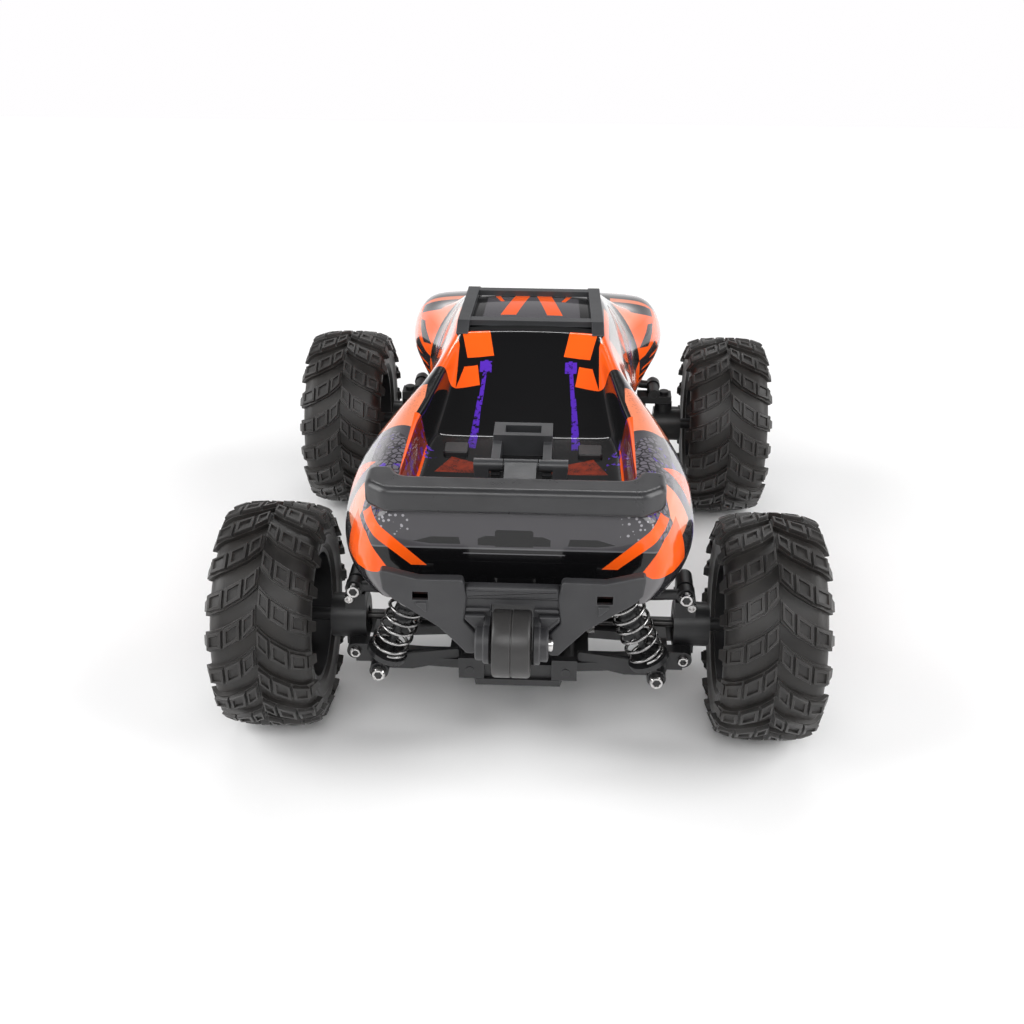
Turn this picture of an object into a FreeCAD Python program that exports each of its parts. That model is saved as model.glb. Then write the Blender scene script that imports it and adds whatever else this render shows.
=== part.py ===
"""Radio-controlled monster truck, 1/16 size, as separate pieces.

Millimetres. +Y is the truck's forward direction, +X its right side, +Z up.
The origin is on the ground, under the middle of the truck's bounding box.
"""
import FreeCAD, Part
import math
import os
from FreeCAD import Vector

os.makedirs("parts", exist_ok=True)

# ---------------------------------------------------------------- driving dimensions
TRUCK_WIDTH = 215.0
REAR_END_Y = -150.5
FRONT_END_Y = 150.5
REAR_AXLE_Y = -77.5
FRONT_AXLE_Y = 100.5
TYRE_RADIUS = 41.0
TYRE_WIDTH = 39.0
RIM_RADIUS = 24.5
AXLE_Z = TYRE_RADIUS
WHEEL_X = TRUCK_WIDTH / 2 - TYRE_WIDTH / 2

RUNNING_GAP = 0.06          # radial clearance of a pin or shaft in its hole
PIN_RADIUS = 1.5
PIN_HEAD_RADIUS = 2.35

# suspension, in a corner's own frame: u outward, v away from the truck's middle
ARM_INNER = (17.0, 31.0)
ARM_OUTER = {"rear": (58.7, 33.0), "front": (55.0, 27.8)}
FORK_DEPTH = {"rear": 5.5, "front": 9.2}
LINK_RISE = {"rear": 24.0, "front": 30.0}
SHOCK_FOOT = {"rear": (48.8, 32.5), "front": (42.4, 33.0)}
SHOCK_TOP = (29.0, 80.0)
SHOCK_V = 21.0
SPRING_RADIUS = 6.6
SPRING_WIRE = 0.75
SPRING_COILS = 6.5
KINGPIN_U = 60.0
STEER_ARM_V = -22.5
TIE_EYE_SHIFT = 0.8         # the knuckle arm swings in an arc, so the eye sits at its middle
TIE_ROD_Z = 30.8

FLOOR_BOTTOM = 23.5
FLOOR_TOP = 26.0
TUB_HALF = 33.0
SHAFT_Z = AXLE_Z
SHAFT_RADIUS = 2.0
SPUR_TEETH = 44
PINION_TEETH = 13
DRIVE_MODULE = 0.6
SPUR_Y = -53.6
MOTOR_RADIUS = 13.8
MOTOR_LENGTH = 38.0
MOTOR_RISE = 5.5

ROLLER_Y = REAR_AXLE_Y - 62.25
ROLLER_Z = 71.0
ROLLER_RADIUS = 10.75
ROLLER_WIDTH = 12.0

SHELL_WALL = 1.5
BED_FLOOR_Z = 99.0
BODY_PIVOT_Y = 127.0
BODY_PIVOT_Z = 72.0

LATCH_TUBE_Y = REAR_AXLE_Y
LATCH_TUBE_Z = 103.0

X_AXIS = Vector(1, 0, 0)
Y_AXIS = Vector(0, 1, 0)
Z_AXIS = Vector(0, 0, 1)


# ---------------------------------------------------------------- small helpers
def box(x0, x1, y0, y1, z0, z1):
    return Part.makeBox(x1 - x0, y1 - y0, z1 - z0, Vector(x0, y0, z0))


def rod(radius, start, end):
    """A round bar from one point to another."""
    run = Vector(*end) - Vector(*start)
    return Part.makeCylinder(radius, run.Length, Vector(*start), run)


def cone(radius_start, radius_end, start, end):
    run = Vector(*end) - Vector(*start)
    return Part.makeCone(radius_start, radius_end, run.Length, Vector(*start), run)


def join(first, *others):
    solid = first
    for other in others:
        solid = solid.fuse(other)
    return solid.removeSplitter()


def cut(solid, *tools):
    for tool in tools:
        solid = solid.cut(tool)
    return solid


def prism(points, axis, start, end):
    """A flat outline pushed along one axis. Points are the other two coordinates, in X, Y, Z order."""
    if axis == "x":
        corners = [Vector(start, a, b) for a, b in points]
        push = Vector(end - start, 0, 0)
    elif axis == "y":
        corners = [Vector(a, start, b) for a, b in points]
        push = Vector(0, end - start, 0)
    else:
        corners = [Vector(a, b, start) for a, b in points]
        push = Vector(0, 0, end - start)
    wire = Part.makePolygon(corners + [corners[0]])
    return Part.Face(wire).extrude(push)


def turned(profile, axis_point, axis):
    """A ring turned from points that already lie in a plane through the axis."""
    wire = Part.makePolygon([Vector(*p) for p in profile] + [Vector(*profile[0])])
    return Part.Face(wire).revolve(Vector(*axis_point), axis, 360)


def rounded(solid, radius, wanted):
    """The solid with a fillet on each edge for which wanted(edge) is true."""
    edges = [edge for edge in solid.Edges if wanted(edge)]
    return solid.makeFillet(radius, edges)


def along(axis_index):
    """A test for straight edges that run along one axis."""
    def test(edge):
        if not isinstance(edge.Curve, Part.Line):
            return False
        direction = edge.Vertexes[1].Point - edge.Vertexes[0].Point
        return abs(abs(direction[axis_index]) - direction.Length) < 1e-6
    return test


def mirrored_x(shape):
    return shape.mirror(Vector(0, 0, 0), X_AXIS)


def save(name, *solids):
    shape = solids[0] if len(solids) == 1 else Part.makeCompound(list(solids))
    for solid in shape.Solids:
        if not solid.isValid() or solid.Volume <= 0:
            print("bad solid in", name)
    shape.exportStep("parts/" + name + ".step")


# ---------------------------------------------------------------- wheels
def tyre():
    """A hollow tyre round the X axis, centred on the wheel's middle plane."""
    half = TYRE_WIDTH / 2
    profile = [
        (-half + 4.5, 0, RIM_RADIUS + 0.2), (-half + 0.8, 0, RIM_RADIUS + 1.5), (-half, 0, 31.0),
        (-half, 0, 35.5), (-half + 1.2, 0, 38.6), (-half + 3.8, 0, TYRE_RADIUS - 0.6),
        (-half + 9.0, 0, TYRE_RADIUS), (half - 9.0, 0, TYRE_RADIUS),
        (half - 3.8, 0, TYRE_RADIUS - 0.6), (half - 1.2, 0, 38.6), (half, 0, 35.5), (half, 0, 31.0),
        (half - 0.8, 0, RIM_RADIUS + 1.5), (half - 4.5, 0, RIM_RADIUS + 0.2),
        (half - 4.5, 0, RIM_RADIUS + 3.2), (half - 3.6, 0, 33.5), (half - 7.5, 0, 36.6),
        (-half + 7.5, 0, 36.6), (-half + 3.6, 0, 33.5), (-half + 4.5, 0, RIM_RADIUS + 3.2),
    ]
    return turned(profile, (0, 0, 0), X_AXIS)


def rim():
    """Barrel, dished disc and spokes. The hub's drive hex is at u = -8 to -4."""
    half = TYRE_WIDTH / 2 - 4.3
    barrel = rod(RIM_RADIUS, (-half, 0, 0), (half, 0, 0))
    barrel = cut(barrel, rod(RIM_RADIUS - 1.8, (-half - 1, 0, 0), (half + 1, 0, 0)))
    disc = rod(RIM_RADIUS - 1, (-3.9, 0, 0), (-1.4, 0, 0))
    for spoke in range(6):
        angle = math.radians(60 * spoke + 30)
        window = rod(4.6, (-9, 15.2 * math.cos(angle), 15.2 * math.sin(angle)),
                     (9, 15.2 * math.cos(angle), 15.2 * math.sin(angle)))
        disc = disc.cut(window)
    hub = rod(8.0, (-3.9, 0, 0), (3.0, 0, 0))
    wheel = join(barrel, disc, hub)
    return cut(wheel, rod(2.5, (-9, 0, 0), (9, 0, 0)))


def hexagon_bar(across_flats, start, end):
    radius = across_flats / 2 / math.cos(math.radians(30))
    points = [(radius * math.cos(math.radians(60 * k)), radius * math.sin(math.radians(60 * k)))
              for k in range(6)]
    return prism(points, "x", start, end)


def axle(cup_end):
    """Wheel axle with its drive cup, hex and nut, round the X axis from the wheel's middle plane."""
    shaft = rod(2.4, (cup_end + 11.0, 0, 0), (7.0, 0, 0))
    cup = cut(rod(4.6, (cup_end, 0, 0), (cup_end + 11.5, 0, 0)),
              rod(3.5, (cup_end - 1, 0, 0), (cup_end + 9.0, 0, 0)))
    drive_hex = hexagon_bar(12.0, -8.0, -4.0)
    nut = hexagon_bar(7.0, 3.1, 6.5)
    return join(shaft, cup, drive_hex, nut)


# ---------------------------------------------------------------- suspension corner pieces
# Each is made for the right side with u = x, v measured along y, and placed afterwards.
def pin_along_v(point, v0, v1, radius=PIN_RADIUS):
    return rod(radius, (point[0], v0, point[1]), (point[0], v1, point[1]))


def lug_along_v(point, v0, v1, radius=3.2):
    return rod(radius, (point[0], v0, point[1]), (point[0], v1, point[1]))


def lower_arm(outer, foot, fork_depth):
    """Wide A-shaped arm with its inner and outer hinge barrels and a shock bracket."""
    ui, zi = ARM_INNER
    uo, zo = outer
    plate_outline = [(ui, -15.0), (ui, 15.0), (uo - 6, 12.0), (uo, 12.0), (uo, -12.0), (uo - 6, -12.0)]
    plate = prism(plate_outline, "z", zi - 2.2, zi + 1.4)
    window_end = uo - fork_depth - 8.0
    window = prism([(ui + 8, -7.5), (ui + 8, 7.5), (window_end, 5.5), (window_end, -5.5)], "z", 0, 99)
    webs = [box(ui + 4, uo - 8, v - 1.0, v + 1.0, zi - 2.2, zi + 4.0) for v in (-11.5, 11.5)]
    fork = join(lug_along_v(outer, -12.0, 12.0), box(uo - 12, uo - 1, -12, 12, zo - 3.2, zo + 3.2))
    fork_gap = box(uo - fork_depth, uo + 9, -6.9, 6.9, zo - 9, zo + 9)
    bracket = join(lug_along_v(foot, 11.0, 15.0, 3.4),
                   box(foot[0] - 3.4, foot[0] + 1.4, 11.0, 15.0, zi - 1, foot[1]))
    arm = join(plate.cut(window), *webs, lug_along_v(ARM_INNER, -15.0, 15.0, 3.2), fork, bracket)
    arm = cut(arm, fork_gap, pin_along_v(ARM_INNER, -30, 30, PIN_RADIUS + RUNNING_GAP),
              pin_along_v(outer, -30, 30, PIN_RADIUS))
    outer_pin = join(pin_along_v(outer, -13.0, 12.6), pin_along_v(outer, -14.6, -12.1, 2.6))
    foot_pin = join(pin_along_v(foot, 15.02, SHOCK_V + 4.0),
                    pin_along_v(foot, SHOCK_V + 3.4, SHOCK_V + 4.8, PIN_HEAD_RADIUS))
    return arm, outer_pin, foot_pin


def link_outer(end):
    return (ARM_OUTER[end][0], ARM_OUTER[end][1] + LINK_RISE[end])


def upright(pivot, outer_end):
    """Rear hub carrier: bearing block between the lower hinge and the upper link."""
    top = link_outer("rear")
    ring = rod(8.0, (pivot[0] - 3.5, 0, AXLE_Z), (outer_end, 0, AXLE_Z))
    stem = box(pivot[0] - 3.4, pivot[0] + 4.0, -5.6, 5.6, pivot[1] - 1, top[1] - 4)
    neck = box(pivot[0] - 3.0, pivot[0] + 3.0, -5.6, 2.5, top[1] - 6, top[1])
    block = join(ring, stem, neck, lug_along_v(pivot, -6.5, 6.5, 3.4), lug_along_v(top, -6.5, 2.5, 3.0))
    return cut(block, rod(4.6 + RUNNING_GAP, (0, 0, AXLE_Z), (99, 0, AXLE_Z)),
               pin_along_v(pivot, -30, 30, PIN_RADIUS + RUNNING_GAP),
               pin_along_v(top, -30, 30, PIN_RADIUS))


def link_pin(end):
    """The screw that holds the upper link's outer eye."""
    top = link_outer(end)
    return join(pin_along_v(top, -6.4, 9.0), pin_along_v(top, 9.0, 10.4, PIN_HEAD_RADIUS))


def caster_block(pivot):
    """Front C-shaped block that holds the kingpins above and below the knuckle."""
    top = link_outer("front")
    wall_in, wall_out = pivot[0] - 7.4, pivot[0] - 3.6
    tip = KINGPIN_U + 3.4
    wall = box(wall_in, wall_out, -6.5, 6.5, 26.0, 52.6)
    upper = box(wall_in, tip, -4.1, 4.1, 52.6, 56.0)
    lower = box(wall_in, tip, -4.1, 4.1, 26.0, 29.6)
    lower_lugs = [join(lug_along_v(pivot, v0, v1, 2.8), box(wall_in, pivot[0], v0, v1, 26.0, 30.0))
                  for v0, v1 in ((-6.5, -4.1), (4.1, 6.5))]
    top_lug = join(lug_along_v(top, -6.5, 3.4, 2.7), box(top[0] - 2.7, top[0] + 2.7, -4.1, 3.4, 55.0, top[1]))
    block = join(wall, upper, lower, *lower_lugs, top_lug)
    block = cut(block, rod(6.4, (0, 0, AXLE_Z), (pivot[0] + 9, 0, AXLE_Z)),
                pin_along_v(pivot, -30, 30, PIN_RADIUS + RUNNING_GAP),
                pin_along_v(top, -30, 30, PIN_RADIUS),
                rod(PIN_RADIUS, (KINGPIN_U, 0, 0), (KINGPIN_U, 0, 99)))
    upper_kingpin = join(rod(PIN_RADIUS, (KINGPIN_U, 0, 49.6), (KINGPIN_U, 0, 57.0)),
                         rod(2.2, (KINGPIN_U, 0, 56.0), (KINGPIN_U, 0, 57.6)))
    lower_kingpin = join(rod(PIN_RADIUS, (KINGPIN_U, 0, 25.0), (KINGPIN_U, 0, 32.6)),
                         rod(2.2, (KINGPIN_U, 0, 24.4), (KINGPIN_U, 0, 26.0)))
    return block, upper_kingpin, lower_kingpin


def knuckle():
    """Front steering knuckle with its bearing ring, kingpin bosses and rearward steering arm."""
    ring = rod(8.0, (KINGPIN_U - 4.4, 0, AXLE_Z), (68.0, 0, AXLE_Z))
    post = rod(4.0, (KINGPIN_U, 0, 29.9), (KINGPIN_U, 0, 52.1))
    arm = prism([(KINGPIN_U + 3, 0), (KINGPIN_U - 3, 0), (KINGPIN_U - 3, STEER_ARM_V),
                 (KINGPIN_U + 1, STEER_ARM_V)], "z", 33.6, 36.8)
    eye = rod(3.0, (KINGPIN_U - 1, STEER_ARM_V, 33.6), (KINGPIN_U - 1, STEER_ARM_V, 36.8))
    body = join(ring, post, arm, eye)
    body = cut(body, rod(4.6 + RUNNING_GAP, (0, 0, AXLE_Z), (99, 0, AXLE_Z)),
               rod(PIN_RADIUS + RUNNING_GAP, (KINGPIN_U, 0, 20), (KINGPIN_U, 0, 33)),
               rod(PIN_RADIUS + RUNNING_GAP, (KINGPIN_U, 0, 49), (KINGPIN_U, 0, 60)))
    return body


def upper_link(end):
    """Camber link from the tower to the top of the carrier, with an eye at each end."""
    outer = link_outer(end)
    inner = (ARM_INNER[0], ARM_INNER[1] + LINK_RISE[end])
    v0, v1 = 4.2, 8.4
    mid = (v0 + v1) / 2
    bar = rod(1.9, (inner[0] + 1, mid, inner[1]), (outer[0] - 1, mid, outer[1]))
    link = join(lug_along_v(inner, v0, v1, 3.2), lug_along_v(outer, v0, v1, 3.2), bar)
    return cut(link, pin_along_v(inner, -30, 30, PIN_RADIUS + RUNNING_GAP),
               pin_along_v(outer, -30, 30, PIN_RADIUS + 0.4))


def shock_length(foot):
    return math.hypot(SHOCK_TOP[0] - foot[0], SHOCK_TOP[1] - foot[1])


def shock_point(foot, distance):
    """A point on the shock's axis, given by its distance down from the top pivot."""
    share = distance / shock_length(foot)
    return (SHOCK_TOP[0] + (foot[0] - SHOCK_TOP[0]) * share, SHOCK_V,
            SHOCK_TOP[1] + (foot[1] - SHOCK_TOP[1]) * share)


def shock_bar(foot, radius, start, end):
    return rod(radius, shock_point(foot, start), shock_point(foot, end))


def shock_body(foot):
    """Upper half of the damper: cap, barrel, spring collar and open bore."""
    eye = lug_along_v(SHOCK_TOP, SHOCK_V - 2.4, SHOCK_V + 2.4, 3.4)
    cap = shock_bar(foot, 4.6, 3.0, 8.0)
    barrel = shock_bar(foot, 4.0, 7.5, 28.0)
    collar = shock_bar(foot, SPRING_RADIUS + 0.6, 11.0, 13.0)
    solid = join(eye, cap, barrel, collar)
    return cut(solid, shock_bar(foot, 1.9, 12.0, 30.0),
               pin_along_v(SHOCK_TOP, -30, 60, PIN_RADIUS + RUNNING_GAP))


def shock_rod(foot):
    """Lower half of the damper: bright rod, spring cup and end eye."""
    end = shock_length(foot)
    eye = lug_along_v(foot, SHOCK_V - 2.4, SHOCK_V + 2.4, 3.4)
    stem = shock_bar(foot, 1.4, 20.0, end - 3)
    neck = shock_bar(foot, 2.6, end - 7, end - 2)
    cup = shock_bar(foot, SPRING_RADIUS + 0.6, end - 8.5, end - 6.7)
    solid = join(eye, stem, neck, cup)
    return cut(solid, pin_along_v(foot, -30, 60, PIN_RADIUS + 0.5))


def spring(foot):
    """Coil spring between the collar and the cup."""
    start = 13.4
    height = shock_length(foot) - 8.9 - start - 2 * SPRING_WIRE
    radius = SPRING_RADIUS - SPRING_WIRE
    helix = Part.makeHelix(height / SPRING_COILS, height, radius)
    circle = Part.Circle(Vector(radius, 0, 0), Vector(0, 1, 0), SPRING_WIRE)
    coil = Part.Wire(helix).makePipeShell([Part.Wire(circle.toShape())], True, True)
    top = Vector(*shock_point(foot, start + SPRING_WIRE))
    down = Vector(*shock_point(foot, 1.0)) - Vector(*shock_point(foot, 0.0))
    coil.Placement = FreeCAD.Placement(top, FreeCAD.Rotation(Z_AXIS, down))
    return coil


def dogbone():
    """Drive shaft from the differential's cup to the axle's cup, with a ball at each end."""
    shaft = rod(1.4, (22.5, 0, AXLE_Z), (59.0, 0, AXLE_Z))
    inner_ball = Part.makeSphere(2.2, Vector(22.5, 0, AXLE_Z))
    outer_ball = Part.makeSphere(2.2, Vector(59.5, 0, AXLE_Z))
    return join(shaft, inner_ball, outer_ball)


# ---------------------------------------------------------------- drive line
GEARBOX_HALF = 13.0
BEVEL_REACH = 6.6           # from the axle line to the small end of the bevel pinion


def gear(teeth, module, width, bore_radius, phase):
    """A spur gear round the Z axis, from z = 0 to its width. Slim teeth leave a running gap."""
    pitch_radius = teeth * module / 2
    root = pitch_radius - 1.05 * module
    tip = pitch_radius + 0.8 * module
    solid = Part.makeCylinder(root + 0.05, width)
    pitch_angle = 2 * math.pi / teeth
    root_half = 0.25 * pitch_angle
    tip_half = 0.10 * pitch_angle
    blanks = []
    for index in range(teeth):
        centre = phase + index * pitch_angle
        points = [(root - 0.1, -root_half), (tip, -tip_half), (tip, tip_half), (root - 0.1, root_half)]
        outline = [(r * math.cos(centre + a), r * math.sin(centre + a)) for r, a in points]
        blanks.append(prism(outline, "z", 0, width))
    solid = solid.multiFuse(blanks)
    return solid.cut(Part.makeCylinder(bore_radius, width + 2, Vector(0, 0, -1)))


def stand_along_y(shape, x, y, z):
    """Turn a piece built round Z so that it runs round Y, towards +Y, and move it."""
    turned_shape = shape.copy()
    turned_shape.rotate(Vector(0, 0, 0), X_AXIS, -90)
    turned_shape.translate(Vector(x, y, z))
    return turned_shape


def centre_driveshaft(rear_y, front_y):
    """The long shaft between the two gearboxes, with a bevel pinion at each end."""
    shaft = rod(SHAFT_RADIUS, (0, rear_y, SHAFT_Z), (0, front_y, SHAFT_Z))
    rear_bevel = cone(3.0, 4.4, (0, rear_y, SHAFT_Z), (0, rear_y + 5.0, SHAFT_Z))
    front_bevel = cone(4.4, 3.0, (0, front_y - 5.0, SHAFT_Z), (0, front_y, SHAFT_Z))
    return join(shaft, rear_bevel, front_bevel)


def mesh_angle():
    reach = (SPUR_TEETH + PINION_TEETH) * DRIVE_MODULE / 2
    motor_x = math.sqrt(reach ** 2 - MOTOR_RISE ** 2)
    return motor_x, math.atan2(MOTOR_RISE, motor_x)


def spur_gear():
    angle = mesh_angle()[1]
    wheel = gear(SPUR_TEETH, DRIVE_MODULE, 4.0, SHAFT_RADIUS, -angle)
    return stand_along_y(wheel, 0, SPUR_Y, SHAFT_Z)


def pinion():
    """Motor pinion on its shaft. A gap of the pinion faces a tooth of the spur gear."""
    motor_x, angle = mesh_angle()
    half_tooth = math.pi / PINION_TEETH
    z = SHAFT_Z + MOTOR_RISE
    wheel = gear(PINION_TEETH, DRIVE_MODULE, 5.0, 1.0, math.pi - angle + half_tooth)
    shaft = rod(1.0, (motor_x, SPUR_Y - 0.4, z), (motor_x, SPUR_Y + 11.0, z))
    return join(stand_along_y(wheel, motor_x, SPUR_Y - 0.5, z), shaft)


def motor():
    """Motor can with its output end towards the spur gear."""
    motor_x = mesh_angle()[0]
    z = SHAFT_Z + MOTOR_RISE
    start = SPUR_Y + 6.5
    end = start + MOTOR_LENGTH
    can = rod(MOTOR_RADIUS, (motor_x, start, z), (motor_x, end, z))
    can = rounded(can, 1.5, lambda edge: isinstance(edge.Curve, Part.Circle))
    boss = rod(5.0, (motor_x, start - 1.2, z), (motor_x, start + 0.5, z))
    tail = rod(4.0, (motor_x, end - 1.0, z), (motor_x, end + 2.5, z))
    shaft_hole = rod(1.0 + RUNNING_GAP, (motor_x, start - 9, z), (motor_x, start + 6, z))
    return cut(join(can, boss, tail), shaft_hole)


def differential(axle_y, ring_side):
    """Ring gear, case and the two output cups, round the X axis."""
    case = rod(5.6, (-7.0, 0, 0), (7.0, 0, 0))
    ring = cone(10.4, 7.6, (ring_side * 8.6, 0, 0), (ring_side * 5.2, 0, 0))
    outputs = rod(4.4, (-27.0, 0, 0), (27.0, 0, 0))
    solid = join(case, ring, outputs)
    solid = cut(solid, rod(3.5, (-28, 0, 0), (-17.4, 0, 0)), rod(3.5, (17.4, 0, 0), (28, 0, 0)))
    solid.translate(Vector(0, axle_y, AXLE_Z))
    return solid


def gearbox():
    """Gear case with the shock tower and hinge-pin lugs. v is +y here, away from the middle."""
    outer = box(-13.4, 13.4, -GEARBOX_HALF - 1.5, GEARBOX_HALF, 27.6, 55.0)
    outer = rounded(outer, 3.0, along(0))
    hollow = box(-11.6, 11.6, -GEARBOX_HALF + 1.0, GEARBOX_HALF - 2.0, 30.0, 52.6)
    ears = [box(x0, x1, v - 1.5, v + 1.5, 27.6, 36.0)
            for x0, x1 in ((-21.0, -12.0), (12.0, 21.0)) for v in (-17.6, 17.6)]
    bridges = [box(-15.0, 15.0, -17.6, -13.0, 27.6, 33.0), box(-15.0, 15.0, 12.0, 17.6, 27.6, 33.0)]
    case = join(outer, *ears, *bridges)
    case = cut(case, hollow,
               rod(4.4 + RUNNING_GAP, (-40, 0, AXLE_Z), (40, 0, AXLE_Z)),
               rod(SHAFT_RADIUS + RUNNING_GAP, (0, -30, AXLE_Z), (0, -8, AXLE_Z)))
    for sign in (-1, 1):
        case = case.cut(rod(PIN_RADIUS, (sign * ARM_INNER[0], -40, ARM_INNER[1]),
                            (sign * ARM_INNER[0], 40, ARM_INNER[1])))
        case = case.cut(rod(3.7, (sign * ARM_INNER[0], -15.4, ARM_INNER[1]),
                            (sign * ARM_INNER[0], 15.4, ARM_INNER[1])))
    pins = [rod(PIN_RADIUS, (sign * ARM_INNER[0], -19.4, ARM_INNER[1]),
                (sign * ARM_INNER[0], 19.4, ARM_INNER[1])) for sign in (-1, 1)]
    return case, pins


def shock_tower(end):
    """Plate on the outer face of the gear case, with posts for the shocks and the upper links."""
    top_u, top_z = SHOCK_TOP
    inner = (ARM_INNER[0], ARM_INNER[1] + LINK_RISE[end])
    outline = [(-13, 38), (13, 38), (13, 50), (23, 52), (24, 64), (23, 69), (top_u + 4, top_z - 3),
               (top_u + 4, top_z + 4), (top_u - 4, top_z + 4), (14, 73), (-14, 73), (4 - top_u, top_z + 4),
               (-top_u - 4, top_z + 4), (-top_u - 4, top_z - 3), (-23, 69), (-24, 64), (-23, 52), (-13, 50)]
    plate = prism(outline, "y", GEARBOX_HALF, GEARBOX_HALF + 2.4)
    window = prism([(-8, 60), (8, 60), (12, 69), (-12, 69)], "y", 0, 40)
    plate = plate.cut(window)
    posts = []
    for sign in (-1, 1):
        posts.append(rod(PIN_RADIUS, (sign * top_u, GEARBOX_HALF + 0.5, top_z),
                         (sign * top_u, SHOCK_V + 3.4, top_z)))
        posts.append(rod(2.6, (sign * top_u, SHOCK_V + 2.8, top_z),
                         (sign * top_u, SHOCK_V + 4.4, top_z)))
        posts.append(rod(PIN_RADIUS, (sign * inner[0], 2.2, inner[1]),
                         (sign * inner[0], GEARBOX_HALF + 0.5, inner[1])))
    return join(plate, *posts)


# ---------------------------------------------------------------- chassis
def chassis_tub():
    """Shallow tub with flared sides between the gearboxes, and a skid under each of them."""
    half = TUB_HALF
    rear_y, front_y = REAR_AXLE_Y + 20.5, FRONT_AXLE_Y - 25.0
    section = [(-half + 5, FLOOR_BOTTOM), (half - 5, FLOOR_BOTTOM), (half, FLOOR_BOTTOM + 6),
               (half + 2, 46), (half, 46), (half - 2.2, FLOOR_BOTTOM + 6.6), (half - 6, FLOOR_TOP),
               (6 - half, FLOOR_TOP), (2.2 - half, FLOOR_BOTTOM + 6.6), (-half, 46), (-half - 2, 46),
               (-half, FLOOR_BOTTOM + 6)]
    tub = prism(section, "y", rear_y, front_y)
    rear_wall = prism([(-half + 5, FLOOR_BOTTOM), (half - 5, FLOOR_BOTTOM), (half, 30), (half + 2, 46),
                       (-half - 2, 46), (-half, 30)], "y", rear_y, rear_y + 2.2)
    rear_wall = rear_wall.cut(box(-6, 6, -200, 200, 33, 60))
    rear_skid = prism([(-15, REAR_AXLE_Y - 19), (15, REAR_AXLE_Y - 19), (24, rear_y), (-24, rear_y)],
                      "z", FLOOR_BOTTOM + 1.4, 27.4)
    front_skid = prism([(-24, front_y), (24, front_y), (15, FRONT_AXLE_Y + 19), (-15, FRONT_AXLE_Y + 19)],
                       "z", FLOOR_BOTTOM + 1.4, 27.4)
    ribs = [box(-half + 4, half - 4, y, y + 1.6, FLOOR_TOP - 0.5, FLOOR_TOP + 1.2) for y in (52.0, 70.0)]
    return join(tub, rear_wall, rear_skid, front_skid, *ribs)


def battery_pack():
    pack = box(-29.0, -7.0, -47.0, 46.0, FLOOR_TOP + 1.0, FLOOR_TOP + 25.0)
    return rounded(pack, 3.0, along(1))


def speed_controller():
    case = rounded(box(5.0, 30.0, 12.0, 48.0, FLOOR_TOP + 5.5, 47.0), 1.5, along(2))
    fins = [box(7.0, 28.0, y, y + 1.6, 46.5, 51.0) for y in (15.0, 19.0, 23.0, 27.0, 31.0, 35.0, 39.0, 43.0)]
    feet = [box(8.0, 27.0, 13.0, 16.0, FLOOR_TOP + 0.05, FLOOR_TOP + 6.0),
            box(8.0, 27.0, 44.0, 47.0, FLOOR_TOP + 0.05, FLOOR_TOP + 6.0)]
    return join(case, *fins, *feet)


def steering_servo():
    case = rounded(box(6.0, 28.0, 54.5, 68.5, FLOOR_TOP + 1.3, 52.0), 1.0, along(2))
    flange = box(6.0, 31.0, 53.9, 54.9, 33.0, 50.0)
    boss = rod(4.5, (12.0, 68.0, 46.0), (12.0, 70.5, 46.0))
    return join(case, flange, boss)


def front_bumper():
    """Wide bumper with upswept ends and a skid, carried on two stays."""
    y1 = FRONT_END_Y
    bar = prism([(-46, y1 - 17), (-38, y1 - 6), (-18, y1), (18, y1), (38, y1 - 6), (46, y1 - 17),
                 (40, y1 - 18), (34, y1 - 12), (15, y1 - 7), (-15, y1 - 7), (-34, y1 - 12), (-40, y1 - 18)],
                "z", 40.0, 54.0)
    skid = prism([(y1 - 29, FLOOR_TOP - 1.0), (y1 - 29, FLOOR_TOP + 1.4), (y1 - 7, 42.0), (y1 - 1, 42.0),
                  (y1 - 12, 31.0)], "x", -18.0, 18.0)
    stays = [box(x - 2.5, x + 2.5, FRONT_AXLE_Y + 16.2, y1 - 6, 46.0, 52.0) for x in (-10.0, 10.0)]
    return join(bar, skid, *stays)


def body_hinge_stay():
    """Upright at the front that carries the hinge pin of the body shell."""
    post = box(-7.0, 7.0, FRONT_AXLE_Y + 16.2, FRONT_AXLE_Y + 20.0, 50.0, BODY_PIVOT_Z + 3.0)
    arm = box(-7.0, 7.0, FRONT_AXLE_Y + 16.2, BODY_PIVOT_Y, BODY_PIVOT_Z - 3.0, BODY_PIVOT_Z + 3.0)
    nose = rod(3.0, (-7.0, BODY_PIVOT_Y, BODY_PIVOT_Z), (7.0, BODY_PIVOT_Y, BODY_PIVOT_Z))
    pin = rod(PIN_RADIUS, (-13.0, BODY_PIVOT_Y, BODY_PIVOT_Z), (13.0, BODY_PIVOT_Y, BODY_PIVOT_Z))
    return join(post, arm, nose, pin)


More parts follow.
